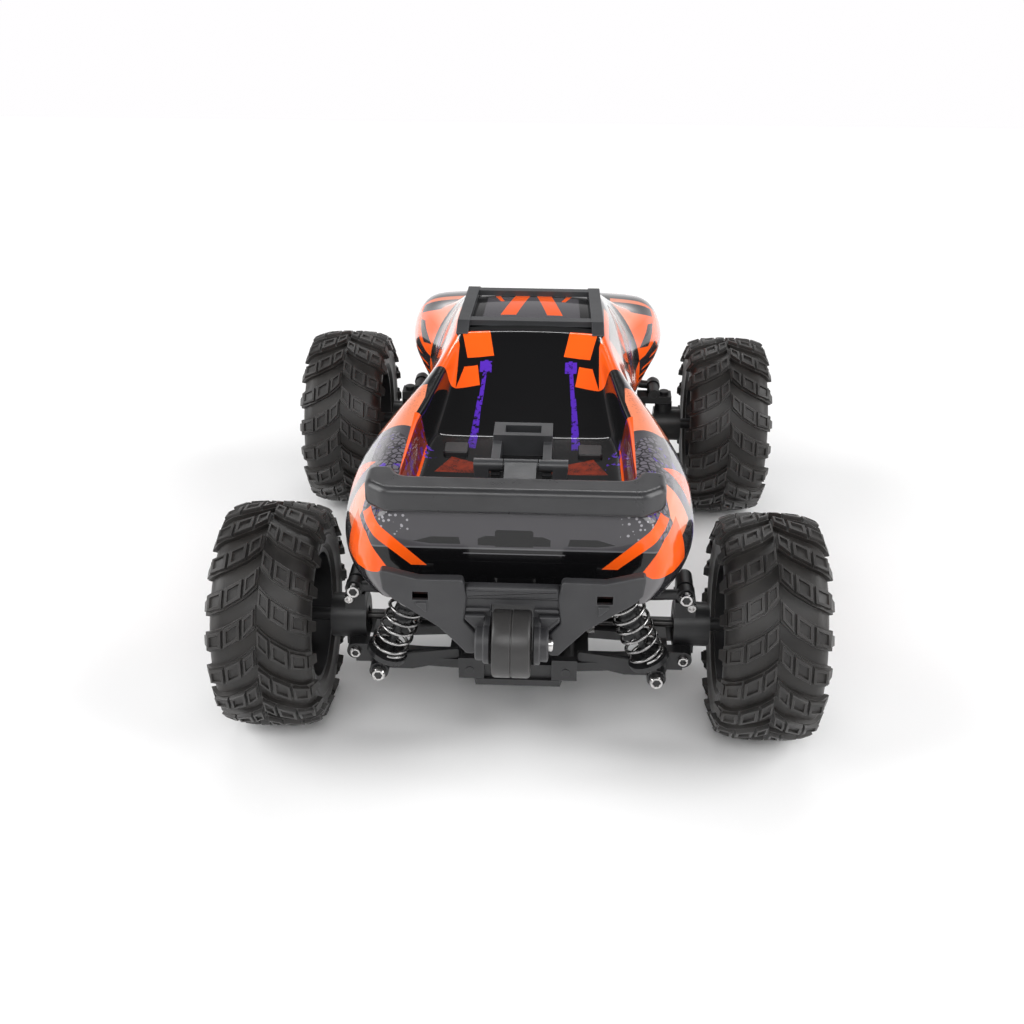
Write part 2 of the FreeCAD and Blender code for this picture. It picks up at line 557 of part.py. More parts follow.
def rear_bumper():
    """Winged bumper plate with a central recess, roller cheeks and two stays to the gear case."""
    y0 = REAR_AXLE_Y - 60.0
    outline = [(-41.7, 95), (-39, 86.5), (-21, 75), (-15, 65), (15, 65), (21, 75), (39, 86.5), (41.7, 95),
               (30, 92), (15.7, 92.5), (14.2, 86), (-14.2, 86), (-15.7, 92.5), (-30, 92)]
    plate = prism(outline, "y", y0 + 0.5, y0 + 4.5)
    windows = [box(s - 3.3, s + 3.3, y0 - 9, y0 + 9, 86.3, 89.6) for s in (-29.0, 29.0)]
    slot = box(-6.6, 6.6, y0 - 9, y0 + 9, 60.0, 83.6)
    plate = cut(plate, *windows, slot)
    cheeks = []
    for sign in (-1, 1):
        inner = sign * (ROLLER_WIDTH / 2 + 0.7)
        outer = sign * (ROLLER_WIDTH / 2 + 5.2)
        disc = rod(6.6, (inner, ROLLER_Y, ROLLER_Z), (outer, ROLLER_Y, ROLLER_Z))
        web = box(min(inner, outer), max(inner, outer), ROLLER_Y, y0 + 3, ROLLER_Z - 6.0, ROLLER_Z + 12.0)
        cheeks += [disc, web]
    stays = [prism([(REAR_AXLE_Y - 16.2, 60.0), (REAR_AXLE_Y - 16.2, 70.0), (y0 + 4.4, 84.0), (y0 + 4.4, 70.0)],
                   "x", x - 2.0, x + 2.0) for x in (-11.0, 11.0)]
    body = join(plate, *cheeks, *stays)
    body = body.cut(rod(PIN_RADIUS, (-30, ROLLER_Y, ROLLER_Z), (30, ROLLER_Y, ROLLER_Z)))
    pin = join(rod(PIN_RADIUS, (-12.6, ROLLER_Y, ROLLER_Z), (12.6, ROLLER_Y, ROLLER_Z)),
               rod(2.6, (11.25, ROLLER_Y, ROLLER_Z), (13.0, ROLLER_Y, ROLLER_Z)))
    return body, pin


def wheelie_roller():
    half = ROLLER_WIDTH / 2
    wheel = rod(ROLLER_RADIUS, (-half, ROLLER_Y, ROLLER_Z), (half, ROLLER_Y, ROLLER_Z))
    wheel = rounded(wheel, 1.4, lambda edge: isinstance(edge.Curve, Part.Circle))
    return wheel.cut(rod(PIN_RADIUS + RUNNING_GAP, (-9, ROLLER_Y, ROLLER_Z), (9, ROLLER_Y, ROLLER_Z)))


# ---------------------------------------------------------------- body shell
# Each station: y, half width at the sill, at the widest line, at the shoulder and at the top edge,
# and the heights of those four levels.
SHELL_STATIONS = [
    (-126.5, (43.0, 48.5, 46.0, 40.0), (79.0, 88.0, 101.0, 110.5)),
    (-112.0, (50.0, 55.0, 52.0, 43.0), (77.0, 86.0, 101.0, 112.5)),
    (-92.0, (53.5, 59.5, 56.0, 44.0), (76.0, 84.0, 100.0, 113.5)),
    (-68.0, (53.5, 59.5, 56.5, 43.0), (76.0, 84.0, 100.0, 113.5)),
    (-48.0, (48.0, 54.0, 52.0, 41.0), (74.0, 84.0, 99.0, 114.5)),
    (-20.0, (38.0, 43.5, 42.5, 34.0), (58.0, 78.0, 97.0, 117.5)),
    (2.0, (38.0, 42.5, 41.5, 30.0), (54.0, 76.0, 96.0, 120.5)),
    (40.0, (38.0, 42.5, 41.0, 29.0), (54.0, 76.0, 96.0, 121.5)),
    (62.0, (40.0, 45.0, 42.5, 28.0), (58.0, 78.0, 96.0, 118.0)),
    (84.0, (46.0, 54.5, 51.0, 37.0), (72.0, 80.0, 97.5, 105.0)),
    (108.0, (48.0, 58.0, 53.5, 41.0), (73.0, 80.0, 97.0, 102.0)),
    (128.0, (44.0, 52.0, 47.0, 36.0), (67.0, 75.0, 90.0, 95.0)),
    (140.0, (36.0, 39.0, 35.0, 24.0), (64.0, 70.0, 80.0, 85.0)),
]


def station_wire(station, inset):
    y, halves, heights = station
    right = []
    for level, (half, height) in enumerate(zip(halves, heights)):
        sink = inset if level == 3 else (-20.0 if inset and level == 0 else 0.0)
        right.append((half - inset, height - sink if level == 3 else height + sink))
    left = [(-x, z) for x, z in reversed(right)]
    points = [Vector(x, y, z) for x, z in right + left]
    return Part.makePolygon(points + [points[0]])


def shell_loft(inset, first_shift, last_shift):
    wires = []
    for index, station in enumerate(SHELL_STATIONS):
        y = station[0]
        if index == 0:
            y += first_shift
        if index == len(SHELL_STATIONS) - 1:
            y += last_shift
        wires.append(station_wire((y, station[1], station[2]), inset))
    return Part.makeLoft(wires, True, True)


def bed_pocket(grow):
    """The load bed and the sloping rear window above it, as a block to cut away."""
    floor_z = BED_FLOOR_Z - grow
    side = [(-200.0, 140.0), (-121.0 - grow, 140.0), (-117.0 - grow, floor_z), (-46.0 + grow * 0.4, floor_z),
            (2.0 + grow, 119.0), (2.0 + grow, 140.0)]
    block = prism(side, "x", -39.0 - grow, 39.0 + grow)
    plan = [(-37.5 - grow, -119.0 - grow), (37.5 + grow, -119.0 - grow), (36.0 + grow, -60.0),
            (26.0 + grow, 3.0 + grow), (-26.0 - grow, 3.0 + grow), (-36.0 - grow, -60.0)]
    return block.common(prism(plan, "z", 80.0, 145.0))


def wheel_arch(y, radius, centre_z):
    return rod(radius, (-120, y, centre_z), (120, y, centre_z)).cut(box(-45.5, 45.5, -200, 200, 0, 200))


def body_shell():
    """Thin printed shell, open underneath, with the load bed let into its top."""
    outer = shell_loft(0.0, 0.0, 0.0)
    inner = shell_loft(SHELL_WALL, SHELL_WALL, -SHELL_WALL)
    outer = outer.cut(bed_pocket(0.0))
    inner = inner.cut(bed_pocket(SHELL_WALL))
    shell = outer.cut(inner)
    arches = [wheel_arch(REAR_AXLE_Y, 45.5, AXLE_Z - 4.0), wheel_arch(FRONT_AXLE_Y, 45.5, AXLE_Z - 7.0)]
    bumper_notch = box(-18.0, 18.0, -140.0, -121.0, 60.0, 86.5)
    shell = cut(shell, *arches, bumper_notch)
    lugs = []
    for sign in (-1, 1):
        x0, x1 = sorted((sign * 8.4, sign * 11.4))
        lug = join(box(x0, x1, BODY_PIVOT_Y - 3.5, BODY_PIVOT_Y + 3.5, BODY_PIVOT_Z, 93.0),
                   rod(3.5, (x0, BODY_PIVOT_Y, BODY_PIVOT_Z), (x1, BODY_PIVOT_Y, BODY_PIVOT_Z)))
        lugs.append(lug)
    shell = join(shell, *lugs)
    shell = shell.cut(rod(PIN_RADIUS + RUNNING_GAP, (-13.0, BODY_PIVOT_Y, BODY_PIVOT_Z),
                          (13.0, BODY_PIVOT_Y, BODY_PIVOT_Z)))
    return max(shell.Solids, key=lambda solid: solid.Volume)


def roof_rack():
    """Two side rails, closer together at the front, joined by a front and a rear bar."""
    profile = [(2.0, 120.8), (8.0, 124.4), (47.0, 125.0), (53.0, 122.8), (52.6, 121.8), (46.0, 122.4),
               (40.0, 122.2), (9.0, 121.1)]
    plan = [(24.2, 0.0), (28.8, 0.0), (26.8, 56.0), (22.2, 56.0)]
    right = prism(profile, "x", 20.0, 30.0).common(prism(plan, "z", 110.0, 130.0))
    rear_bar = box(-25.0, 25.0, 9.0, 13.0, 121.8, 124.0)
    front_bar = box(-23.5, 23.5, 43.0, 46.6, 122.5, 124.7)
    return join(right, mirrored_x(right), rear_bar, front_bar)


def tail_pad():
    """Rounded slab across the top of the tail, with ends turned forward."""
    y0 = REAR_AXLE_Y - 51.0
    outline = [(-40.5, y0), (40.5, y0), (46.8, y0 + 6), (47.0, y0 + 16), (38.5, y0 + 17), (36.5, y0 + 10.5),
               (-36.5, y0 + 10.5), (-38.5, y0 + 17), (-47.0, y0 + 16), (-46.8, y0 + 6)]
    slab = prism(outline, "z", 113.9, 118.6)
    slab = rounded(slab, 1.6, lambda edge: edge.BoundBox.ZLength < 0.01)
    lip = box(-40.0, 40.0, y0 - 0.6, y0 + 1.6, 110.6, 115.8)
    return join(slab, lip)


def latch_base():
    """Frame and two tubular bosses that carry the body latch in the bed."""
    y = LATCH_TUBE_Y
    z = LATCH_TUBE_Z
    bosses = [rod(2.2, (x0, y, z), (x1, y, z)) for x0, x1 in ((-16.2, -6.2), (6.2, 16.2))]
    saddles = [box(x0, x1, y - 2.2, y + 2.2, BED_FLOOR_Z + 0.1, z) for x0, x1 in ((-16.0, -11.0), (11.0, 16.0))]
    frame = cut(box(-10.4, 10.4, y + 16.0, y + 27.0, BED_FLOOR_Z + 0.1, BED_FLOOR_Z + 8.0),
                box(-6.4, 6.4, y + 18.4, y + 24.6, BED_FLOOR_Z - 2, BED_FLOOR_Z + 20))
    arms = [box(x0, x1, y, y + 17.0, BED_FLOOR_Z + 0.1, BED_FLOOR_Z + 5.6)
            for x0, x1 in ((-10.4, -7.4), (7.4, 10.4))]
    solid = join(*bosses, *saddles, frame, *arms)
    return solid.cut(rod(1.0, (-20, y, z), (20, y, z)))


def latch_lever():
    y = LATCH_TUBE_Y
    z = LATCH_TUBE_Z
    barrel = rod(2.2, (-5.8, y, z), (5.8, y, z))
    paddle = prism([(y - 12.0, 100.6), (y - 12.0, 102.6), (y + 0.5, z + 2.1), (y + 2.6, z + 1.2),
                    (y + 2.6, z - 0.5), (y, z - 1.6)], "x", -5.4, 5.4)
    spindle = rod(1.0 - RUNNING_GAP, (-16.0, y, z), (16.0, y, z))
    return join(barrel, paddle, spindle)


# ---------------------------------------------------------------- assembly
def place_corner(shape, side, end):
    """Move a corner piece from its own frame (right side, v along +y) to its place on the truck."""
    placed = shape if end == "front" else shape.mirror(Vector(0, 0, 0), Y_AXIS)
    if side == "left":
        placed = mirrored_x(placed)
    placed = placed.copy()
    placed.translate(Vector(0, FRONT_AXLE_Y if end == "front" else REAR_AXLE_Y, 0))
    return placed


def tie_rod():
    """Rod from the drag link to the knuckle's arm, lying behind the front arm."""
    u0, u1 = 12.0, KINGPIN_U - 1
    v = STEER_ARM_V
    eye_v = v + TIE_EYE_SHIFT
    bar = rod(1.3, (u0 + 2, v, TIE_ROD_Z), (u1 - 3.8, v, TIE_ROD_Z))
    outer_eye = rod(4.8, (u1, eye_v, TIE_ROD_Z - 1.4), (u1, eye_v, TIE_ROD_Z + 1.4))
    inner_eye = rod(3.2, (u0, v - 1.5, TIE_ROD_Z), (u0, v + 1.5, TIE_ROD_Z))
    solid = join(bar, outer_eye, inner_eye)
    return cut(solid, rod(3.1, (u1, eye_v, 20), (u1, eye_v, 60)),
               rod(PIN_RADIUS + RUNNING_GAP, (u0, v - 9, TIE_ROD_Z), (u0, v + 9, TIE_ROD_Z)))


def steering_drag_link():
    """Bar that slides across the chassis and carries the inner end of both tie rods."""
    y = FRONT_AXLE_Y + STEER_ARM_V
    z = TIE_ROD_Z
    bar = box(-15.0, 15.0, y - 5.6, y - 2.1, z - 2.2, z + 2.2)
    pins = [rod(PIN_RADIUS, (x, y - 3.0, z), (x, y + 2.4, z)) for x in (-12.0, 12.0)]
    return join(bar, *pins)


def build_corner(side, end):
    name = end + "_" + side
    outer = ARM_OUTER[end]
    foot = SHOCK_FOOT[end]
    wheel_centre = Vector(WHEEL_X, 0, AXLE_Z)
    cup_end = 55.2 - WHEEL_X

    def put(node, *solids):
        save(name + "_" + node, *[place_corner(solid, side, end) for solid in solids])

    def at_wheel(shape):
        moved = shape.copy()
        moved.translate(wheel_centre)
        return moved

    put("tyre", at_wheel(tyre()))
    put("rim", at_wheel(rim()), at_wheel(axle(cup_end)))
    put("lower_arm", *lower_arm(outer, foot, FORK_DEPTH[end]))
    if end == "rear":
        put("hub_carrier", upright(outer, 68.0), link_pin(end))
    else:
        put("caster_block", *caster_block(outer), link_pin(end))
        arm_end = KINGPIN_U - 1
        ball_pin = rod(PIN_RADIUS, (arm_end, STEER_ARM_V, 29.4), (arm_end, STEER_ARM_V, 34.0))
        put("steering_knuckle", join(knuckle(), ball_pin))
    put("upper_link", upper_link(end))
    put("shock_body", shock_body(foot))
    put("shock_rod", shock_rod(foot))
    put("spring", spring(foot))
    put("dogbone", dogbone())


def build_end(end):
    axle_y = FRONT_AXLE_Y if end == "front" else REAR_AXLE_Y
    case, pins = gearbox()
    solids = [case, shock_tower(end)] + pins
    save(end + "_gearbox", *[place_corner(solid, "right", end) for solid in solids])
    save(end + "_differential", differential(axle_y, -1 if end == "front" else 1))


def build():
    for end in ("rear", "front"):
        for side in ("left", "right"):
            build_corner(side, end)
        build_end(end)
    save("centre_driveshaft", centre_driveshaft(REAR_AXLE_Y + BEVEL_REACH, FRONT_AXLE_Y - BEVEL_REACH), spur_gear())
    save("motor", motor())
    save("pinion_gear", pinion())
    save("steering_servo", steering_servo())
    save("steering_drag_link", steering_drag_link())
    for side in ("left", "right"):
        save(side + "_tie_rod", place_corner(tie_rod(), side, "front"))
    save("chassis_tub", chassis_tub())
    save("battery_pack", battery_pack())
    save("speed_controller", speed_controller())
    save("front_bumper", front_bumper(), body_hinge_stay())
    save("rear_bumper", *rear_bumper())
    save("wheelie_roller", wheelie_roller())
    save("body_shell", body_shell())
    save("roof_rack", roof_rack())
    save("tail_pad", tail_pad())
    save("latch_base", latch_base())
    save("latch_lever", latch_lever())


build()
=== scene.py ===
"""Looks of the radio-controlled monster truck: pieces with fine detail, and a material for every part."""
import math
import bmesh
import bpy
from mathutils import Matrix, Vector


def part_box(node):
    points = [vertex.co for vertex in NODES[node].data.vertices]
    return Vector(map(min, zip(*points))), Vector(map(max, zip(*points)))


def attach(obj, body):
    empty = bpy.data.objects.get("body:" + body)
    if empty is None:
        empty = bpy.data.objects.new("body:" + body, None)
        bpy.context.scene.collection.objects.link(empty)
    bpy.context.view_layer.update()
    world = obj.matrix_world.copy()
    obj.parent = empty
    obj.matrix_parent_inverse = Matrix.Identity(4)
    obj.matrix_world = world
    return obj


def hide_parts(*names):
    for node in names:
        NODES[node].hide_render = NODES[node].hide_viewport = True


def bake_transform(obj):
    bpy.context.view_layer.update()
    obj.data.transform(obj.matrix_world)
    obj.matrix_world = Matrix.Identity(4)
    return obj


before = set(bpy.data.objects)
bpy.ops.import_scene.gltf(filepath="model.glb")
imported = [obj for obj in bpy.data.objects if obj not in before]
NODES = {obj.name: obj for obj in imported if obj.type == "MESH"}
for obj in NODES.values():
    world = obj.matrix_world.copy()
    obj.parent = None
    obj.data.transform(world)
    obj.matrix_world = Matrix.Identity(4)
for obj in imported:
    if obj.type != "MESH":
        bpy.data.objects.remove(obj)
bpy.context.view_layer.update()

MM = 0.001
CORNERS = [(end, side) for end in ("rear", "front") for side in ("left", "right")]


def centre_of(node):
    low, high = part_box(node)
    return [(a + b) / 2 for a, b in zip(low, high)]


def wheel_centre(end, side):
    return Vector(centre_of(f"{end}_{side}_tyre"))


AXLE_Z = wheel_centre("rear", "left").z
REAR_Y = wheel_centre("rear", "left").y
FRONT_Y = wheel_centre("front", "left").y
AXLE_Y = {"rear": REAR_Y, "front": FRONT_Y}
TYRE_RADIUS = (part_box("rear_left_tyre")[1][2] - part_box("rear_left_tyre")[0][2]) / 2


# ---------------- mesh helpers
def face_outwards(bm):
    """Turn each closed island of the mesh so that its faces look outwards."""
    bmesh.ops.recalc_face_normals(bm, faces=bm.faces[:])
    seen = set()
    for start in bm.faces:
        if start in seen:
            continue
        seen.add(start)
        island = [start]
        for face in island:
            for edge in face.edges:
                for other in edge.link_faces:
                    if other not in seen:
                        seen.add(other)
                        island.append(other)
        volume = 0.0
        for face in island:
            first, *rest = [vert.co for vert in face.verts]
            volume += sum(first.dot(b.cross(c)) for b, c in zip(rest, rest[1:]))
        if volume < 0:
            bmesh.ops.reverse_faces(bm, faces=island)


def add_object(name, data):
    thing = bpy.data.objects.new(name, data)
    bpy.context.scene.collection.objects.link(thing)
    return thing


def mesh_from(bm, name):
    mesh = bpy.data.meshes.new(name)
    bm.to_mesh(mesh)
    bm.free()
    return mesh


def smooth_by_angle(mesh, sharp):
    """Smooth shading, broken at edges steeper than the given degrees."""
    for polygon in mesh.polygons:
        polygon.use_smooth = True
    mesh.set_sharp_from_angle(angle=math.radians(sharp))


def finish_mesh(name, bm, body, material, sharp=32.0):
    """Turn a bmesh into a smooth-shaded piece, riding on a body if one is given."""
    face_outwards(bm)
    mesh = mesh_from(bm, name)
    smooth_by_angle(mesh, sharp)
    mesh.materials.append(MATERIALS[material])
    piece = add_object(name, mesh)
    if body:
        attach(piece, body)
    return piece


def join_rings(bm, rings):
    """Walls between closed rings of equal length, and a cap at each end."""
    bm.faces.new(rings[0])
    bm.faces.new(rings[-1])
    for a, b in zip(rings, rings[1:]):
        for k in range(len(a)):
            n = (k + 1) % len(a)
            bm.faces.new((a[k], a[n], b[n], b[k]))


def join_rows(bm, rows):
    """Faces between open rows of equal length."""
    for a, b in zip(rows, rows[1:]):
        for k in range(len(a) - 1):
            bm.faces.new((a[k], a[k + 1], b[k + 1], b[k]))


def axes_for(direction):
    """Two unit vectors square to a direction."""
    along = Vector(direction).normalized()
    helper = Vector((0, 0, 1)) if abs(along.z) < 0.9 else Vector((1, 0, 0))
    first = along.cross(helper).normalized()
    return along, first, along.cross(first)


def spoke(first, second, angle):
    """The unit vector at an angle between two square directions."""
    return math.cos(angle) * first + math.sin(angle) * second


def add_lathe(bm, start, direction, profile, steps=32, closed=False):
    """Turn (distance along, radius) points round an axis. A radius of 0 closes the end."""
    along, first, second = axes_for(direction)
    start = Vector(start)
    rings = []
    for distance, radius in profile:
        centre = start + along * distance
        if radius <= 0:
            rings.append([bm.verts.new(centre)])
            continue
        ring = []
        for step in range(steps):
            ring.append(bm.verts.new(centre + radius * spoke(first, second, 2 * math.pi * step / steps)))
        rings.append(ring)
    pairs = list(zip(rings, rings[1:]))
    if closed:
        pairs.append((rings[-1], rings[0]))
    for a, b in pairs:
        for step in range(steps):
            after = (step + 1) % steps
            corners = [a[step % len(a)], a[after % len(a)], b[after % len(b)], b[step % len(b)]]
            unique = list(dict.fromkeys(corners))
            if len(unique) >= 3:
                bm.faces.new(unique)


def rounded_outline(points, radius, steps=5):
    """The outline with an arc at each corner. A point may carry its own radius as a third value."""
    result = []
    count = len(points)
    for k, point in enumerate(points):
        here = Vector(point[:2])
        before = Vector(points[k - 1][:2]) - here
        after = Vector(points[(k + 1) % count][:2]) - here
        wanted = point[2] if len(point) > 2 else radius
        half = before.angle(after) / 2
        reach = min(wanted / max(math.tan(half), 1e-6), before.length * 0.48, after.length * 0.48)
        if wanted <= 0 or half > math.radians(88):
            result.append(here)
            continue
        start = here + before.normalized() * reach
        end = here + after.normalized() * reach
        for step in range(steps + 1):
            t = step / steps
            result.append((1 - t) ** 2 * start + 2 * t * (1 - t) * here + t ** 2 * end)
    return result


def inset_outline(outline, distance):
    """The outline moved inwards along its own normals."""
    count = len(outline)
    area = sum(outline[k - 1].cross(outline[k]) for k in range(count))
    turn = 1.0 if area > 0 else -1.0
    moved = []
    for k in range(count):
        back = outline[k] - outline[k - 1]
        forth = outline[(k + 1) % count] - outline[k]
        edge = back.normalized() + forth.normalized()
        edge = edge.normalized() if edge.length > 1e-9 else forth.normalized()
        moved.append(outline[k] + turn * distance * Vector((-edge.y, edge.x)))
    return moved


def add_slab(bm, outline, axis, low, high, round_low=0.0006, round_high=0.0006, steps=4):
    """A closed slab with rounded rims. The outline is in the other two coordinates, in X, Y, Z order."""
    flat_low = round_low * 1.12 + 0.00004
    flat_high = round_high * 1.12 + 0.00004
    angles = [math.pi / 2 * step / steps for step in range(steps + 1)]
    levels = [(low + round_low * (1 - math.sin(a)), round_low * (1 - math.cos(a))) for a in reversed(angles)]
    levels += [(high - round_high * (1 - math.sin(a)), round_high * (1 - math.cos(a))) for a in angles]
    if round_low > 0:
        levels.insert(0, (low, flat_low))
    if round_high > 0:
        levels.append((high, flat_high))
    rings = []
    for height, inset in levels:
        ring = []
        for u, v in inset_outline(outline, inset):
            place = {"x": (height, u, v), "y": (u, height, v), "z": (u, v, height)}[axis]
            ring.append(bm.verts.new(place))
        rings.append(ring)
    join_rings(bm, rings)


def mm_points(points):
    return [tuple(value * MM for value in point) for point in points]


def mm_slab(bm, outline, axis, low, high, corner=0.6, corner_steps=3, rims=(0.6, 0.6), steps=4):
    """A slab given in mm, with rounded corners."""
    rounded = rounded_outline(mm_points(outline), corner * MM, corner_steps)
    add_slab(bm, rounded, axis, low * MM, high * MM, rims[0] * MM, rims[1] * MM, steps)


def carve(piece, cutter_bm):
    """Cut a closed bmesh out of a piece."""
    face_outwards(cutter_bm)
    cutter = add_object("cutter", mesh_from(cutter_bm, "cutter"))
    modifier = piece.modifiers.new("carve", "BOOLEAN")
    modifier.operation = "DIFFERENCE"
    modifier.solver = "EXACT"
    modifier.object = cutter
    bake_modifiers(piece)
    bpy.data.objects.remove(cutter)


def bake_modifiers(piece):
    bpy.context.view_layer.update()
    evaluated = piece.evaluated_get(bpy.context.evaluated_depsgraph_get())
    mesh = bpy.data.meshes.new_from_object(evaluated)
    piece.modifiers.clear()
    piece.data = mesh
    bpy.context.view_layer.update()


# ---------------- material helpers
class Graph:
    """A material with one Principled shader, and short names for the nodes that feed it."""

    def __init__(self, name):
        self.material = bpy.data.materials.new(name)
        self.material.use_nodes = True
        tree = self.material.node_tree
        self.nodes = tree.nodes
        self.links = tree.links
        self.nodes.clear()
        output = self.nodes.new("ShaderNodeOutputMaterial")
        self.shader = self.nodes.new("ShaderNodeBsdfPrincipled")
        self.links.new(self.shader.outputs[0], output.inputs[0])
        self.place = self.nodes.new("ShaderNodeTexCoord").outputs["Object"]

    def feed(self, socket, value):
        if isinstance(value, bpy.types.NodeSocket):
            self.links.new(value, socket)
        elif isinstance(value, tuple) and len(value) == 3 and socket.type == "RGBA":
            socket.default_value = (*value, 1.0)
        else:
            socket.default_value = value

    def set(self, **values):
        for key, value in values.items():
            self.feed(self.shader.inputs[key.replace("_", " ")], value)

    def node(self, kind, *values, **settings):
        """A new node, with values fed to its first inputs in order."""
        node = self.nodes.new("ShaderNode" + kind)
        for key, value in settings.items():
            setattr(node, key, value)
        for socket, value in zip(node.inputs, values):
            self.feed(socket, value)
        return node

    def math(self, operation, a, b=0.0):
        return self.node("Math", a, b, operation=operation).outputs[0]

    def chain(self, operation, first, *rest):
        for value in rest:
            first = self.math(operation, first, value)
        return first

    def vector(self, operation, a, b=(0.0, 0.0, 0.0)):
        node = self.node("VectorMath", a, b, operation=operation)
        return node.outputs["Value" if operation in ("DOT_PRODUCT", "LENGTH") else "Vector"]

    def split(self, vector):
        return self.node("SeparateXYZ", vector).outputs[:]

    def joined(self, x, y, z):
        return self.node("CombineXYZ", x, y, z).outputs[0]

    def noise(self, scale, detail=3.0, roughness=0.5, vector=None):
        node = self.node("TexNoise", vector or self.place)
        for key, value in (("Scale", scale), ("Detail", detail), ("Roughness", roughness)):
            node.inputs[key].default_value = value
        return node.outputs["Fac"]

    def cells(self, scale, feature="F1"):
        node = self.node("TexVoronoi", self.place, feature=feature)
        node.inputs["Scale"].default_value = scale
        return node.outputs["Distance"]

    def spread(self, value, low, high, to_low=0.0, to_high=1.0):
        """Map low..high to to_low..to_high, held at both ends."""
        return self.node("MapRange", value, low, high, to_low, to_high).outputs[0]

    def mix(self, share, a, b):
        node = self.node("Mix", data_type="RGBA")
        for index, value in ((0, share), (6, a), (7, b)):
            self.feed(node.inputs[index], value)
        return node.outputs[2]

    def bump(self, height, distance, strength=1.0):
        node = self.node("Bump")
        for key, value in (("Height", height), ("Distance", distance), ("Strength", strength)):
            self.feed(node.inputs[key], value)
        return node.outputs[0]

    def edge_wear(self, reach=0.0006):
        """1 on outer edges and 0 on flats."""
        bevel = self.nodes.new("ShaderNodeBevel")
        bevel.samples = 4
        bevel.inputs["Radius"].default_value = reach
        geometry = self.nodes.new("ShaderNodeNewGeometry")
        alike = self.vector("DOT_PRODUCT", bevel.outputs[0], geometry.outputs["Normal"])
        return self.spread(alike, 0.995, 0.90)

    def region(self, plane, points):
        """A mask that is 1 inside a convex outline. plane is the vector (u, v, 1) in mm."""
        count = len(points)
        middle = Vector((sum(p[0] for p in points) / count, sum(p[1] for p in points) / count))
        inside = None
        for first, second in zip(points, points[1:] + points[:1]):
            run = Vector(second) - Vector(first)
            normal = Vector((-run.y, run.x)).normalized()
            offset = normal.dot(Vector(first))
            if normal.dot(middle) < offset:
                normal, offset = -normal, -offset
            distance = self.vector("DOT_PRODUCT", plane, (normal.x, normal.y, -offset))
            inside = distance if inside is None else self.math("MINIMUM", inside, distance)
        return self.spread(inside, -PRINT_EDGE, PRINT_EDGE)


def moulded_plastic(name, dark, light, rough_low, rough_high, grain=1400.0, grain_depth=0.00002, wear=0.35):
    """Moulded plastic with spark-eroded grain, soft colour drift and slightly paler edges."""
    g = Graph(name)
    drift = g.noise(60.0, 3.0)
    grit = g.noise(grain, 2.0, 0.6)
    base = g.mix(g.spread(drift, 0.3, 0.7), dark, light)
    paler = tuple(min(1.0, value * 2.2 + 0.02) for value in light)
    base = g.mix(g.math("MULTIPLY", g.edge_wear(), wear), base, paler)
    smudge = g.noise(140.0, 4.0, 0.6)
    touched = g.math("ADD", smudge, g.math("MULTIPLY", grit, 0.3))
    g.set(Base_Color=base, Roughness=g.spread(touched, 0.4, 0.9, rough_low, rough_high),
          Normal=g.bump(grit, grain_depth))
    return g.material


def bright_metal(name, dark, light, rough_low, rough_high, streak=(300.0, 300.0, 300.0)):
    """Plated metal with fine turning marks and faint stains."""
    g = Graph(name)
    stretched = g.vector("MULTIPLY", g.place, streak)
    marks = g.noise(1.0, 2.0, 0.5, stretched)
    stains = g.noise(90.0, 3.0)
    g.set(Base_Color=g.mix(g.spread(stains, 0.35, 0.7), light, dark), Metallic=1.0,
          Roughness=g.spread(marks, 0.3, 0.7, rough_low, rough_high))
    return g.material


def rubber(name):
    """Black tyre rubber: painted shade makes the hollows and side walls darker and browner than the lighter
    block tops.
    """
    g = Graph(name)
    _, y, z = g.split(g.place)
    middle = (REAR_Y + FRONT_Y) / 2
    is_front = g.math("GREATER_THAN", y, middle)
    axle = g.spread(is_front, 0.0, 1.0, REAR_Y, FRONT_Y)
    away = g.joined(0.0, g.math("SUBTRACT", y, axle), g.math("SUBTRACT", z, AXLE_Z))
    radius = g.vector("LENGTH", away)
    crown = g.spread(radius, TYRE_RADIUS - 0.0030, TYRE_RADIUS - 0.0006)
    blotch = g.noise(120.0, 4.0, 0.6)
    grit = g.noise(1500.0, 2.0, 0.6)
    # painted shade: the hollows and side walls, below the block tops, get darker and browner colours than the
    # tops
    hollow = g.mix(g.spread(blotch, 0.3, 0.7), (0.008, 0.0072, 0.0066), (0.019, 0.0165, 0.0145))
    top = g.mix(g.spread(blotch, 0.35, 0.65), (0.012, 0.011, 0.0105), (0.022, 0.0205, 0.0195))
    base = g.mix(crown, hollow, top)
    base = g.mix(g.math("MULTIPLY", g.edge_wear(0.0004), 0.40), base, (0.050, 0.046, 0.043))
    g.set(Base_Color=base, Roughness=g.spread(blotch, 0.3, 0.75, 0.42, 0.60),
          Normal=g.bump(grit, 0.00003), Sheen_Weight=0.12, Sheen_Roughness=0.4)
    return g.material


PRINT_EDGE = 0.06        # half width of the soft edge of a printed shape, in mm
ORANGE = (0.90, 0.105, 0.008)
PALE_ORANGE = (0.80, 0.24, 0.12)
DEEP_RED = (0.20, 0.018, 0.004)
PURPLE = (0.085, 0.022, 0.42)
GREY = (0.055, 0.052, 0.060)
INK = (0.0045, 0.0045, 0.005)


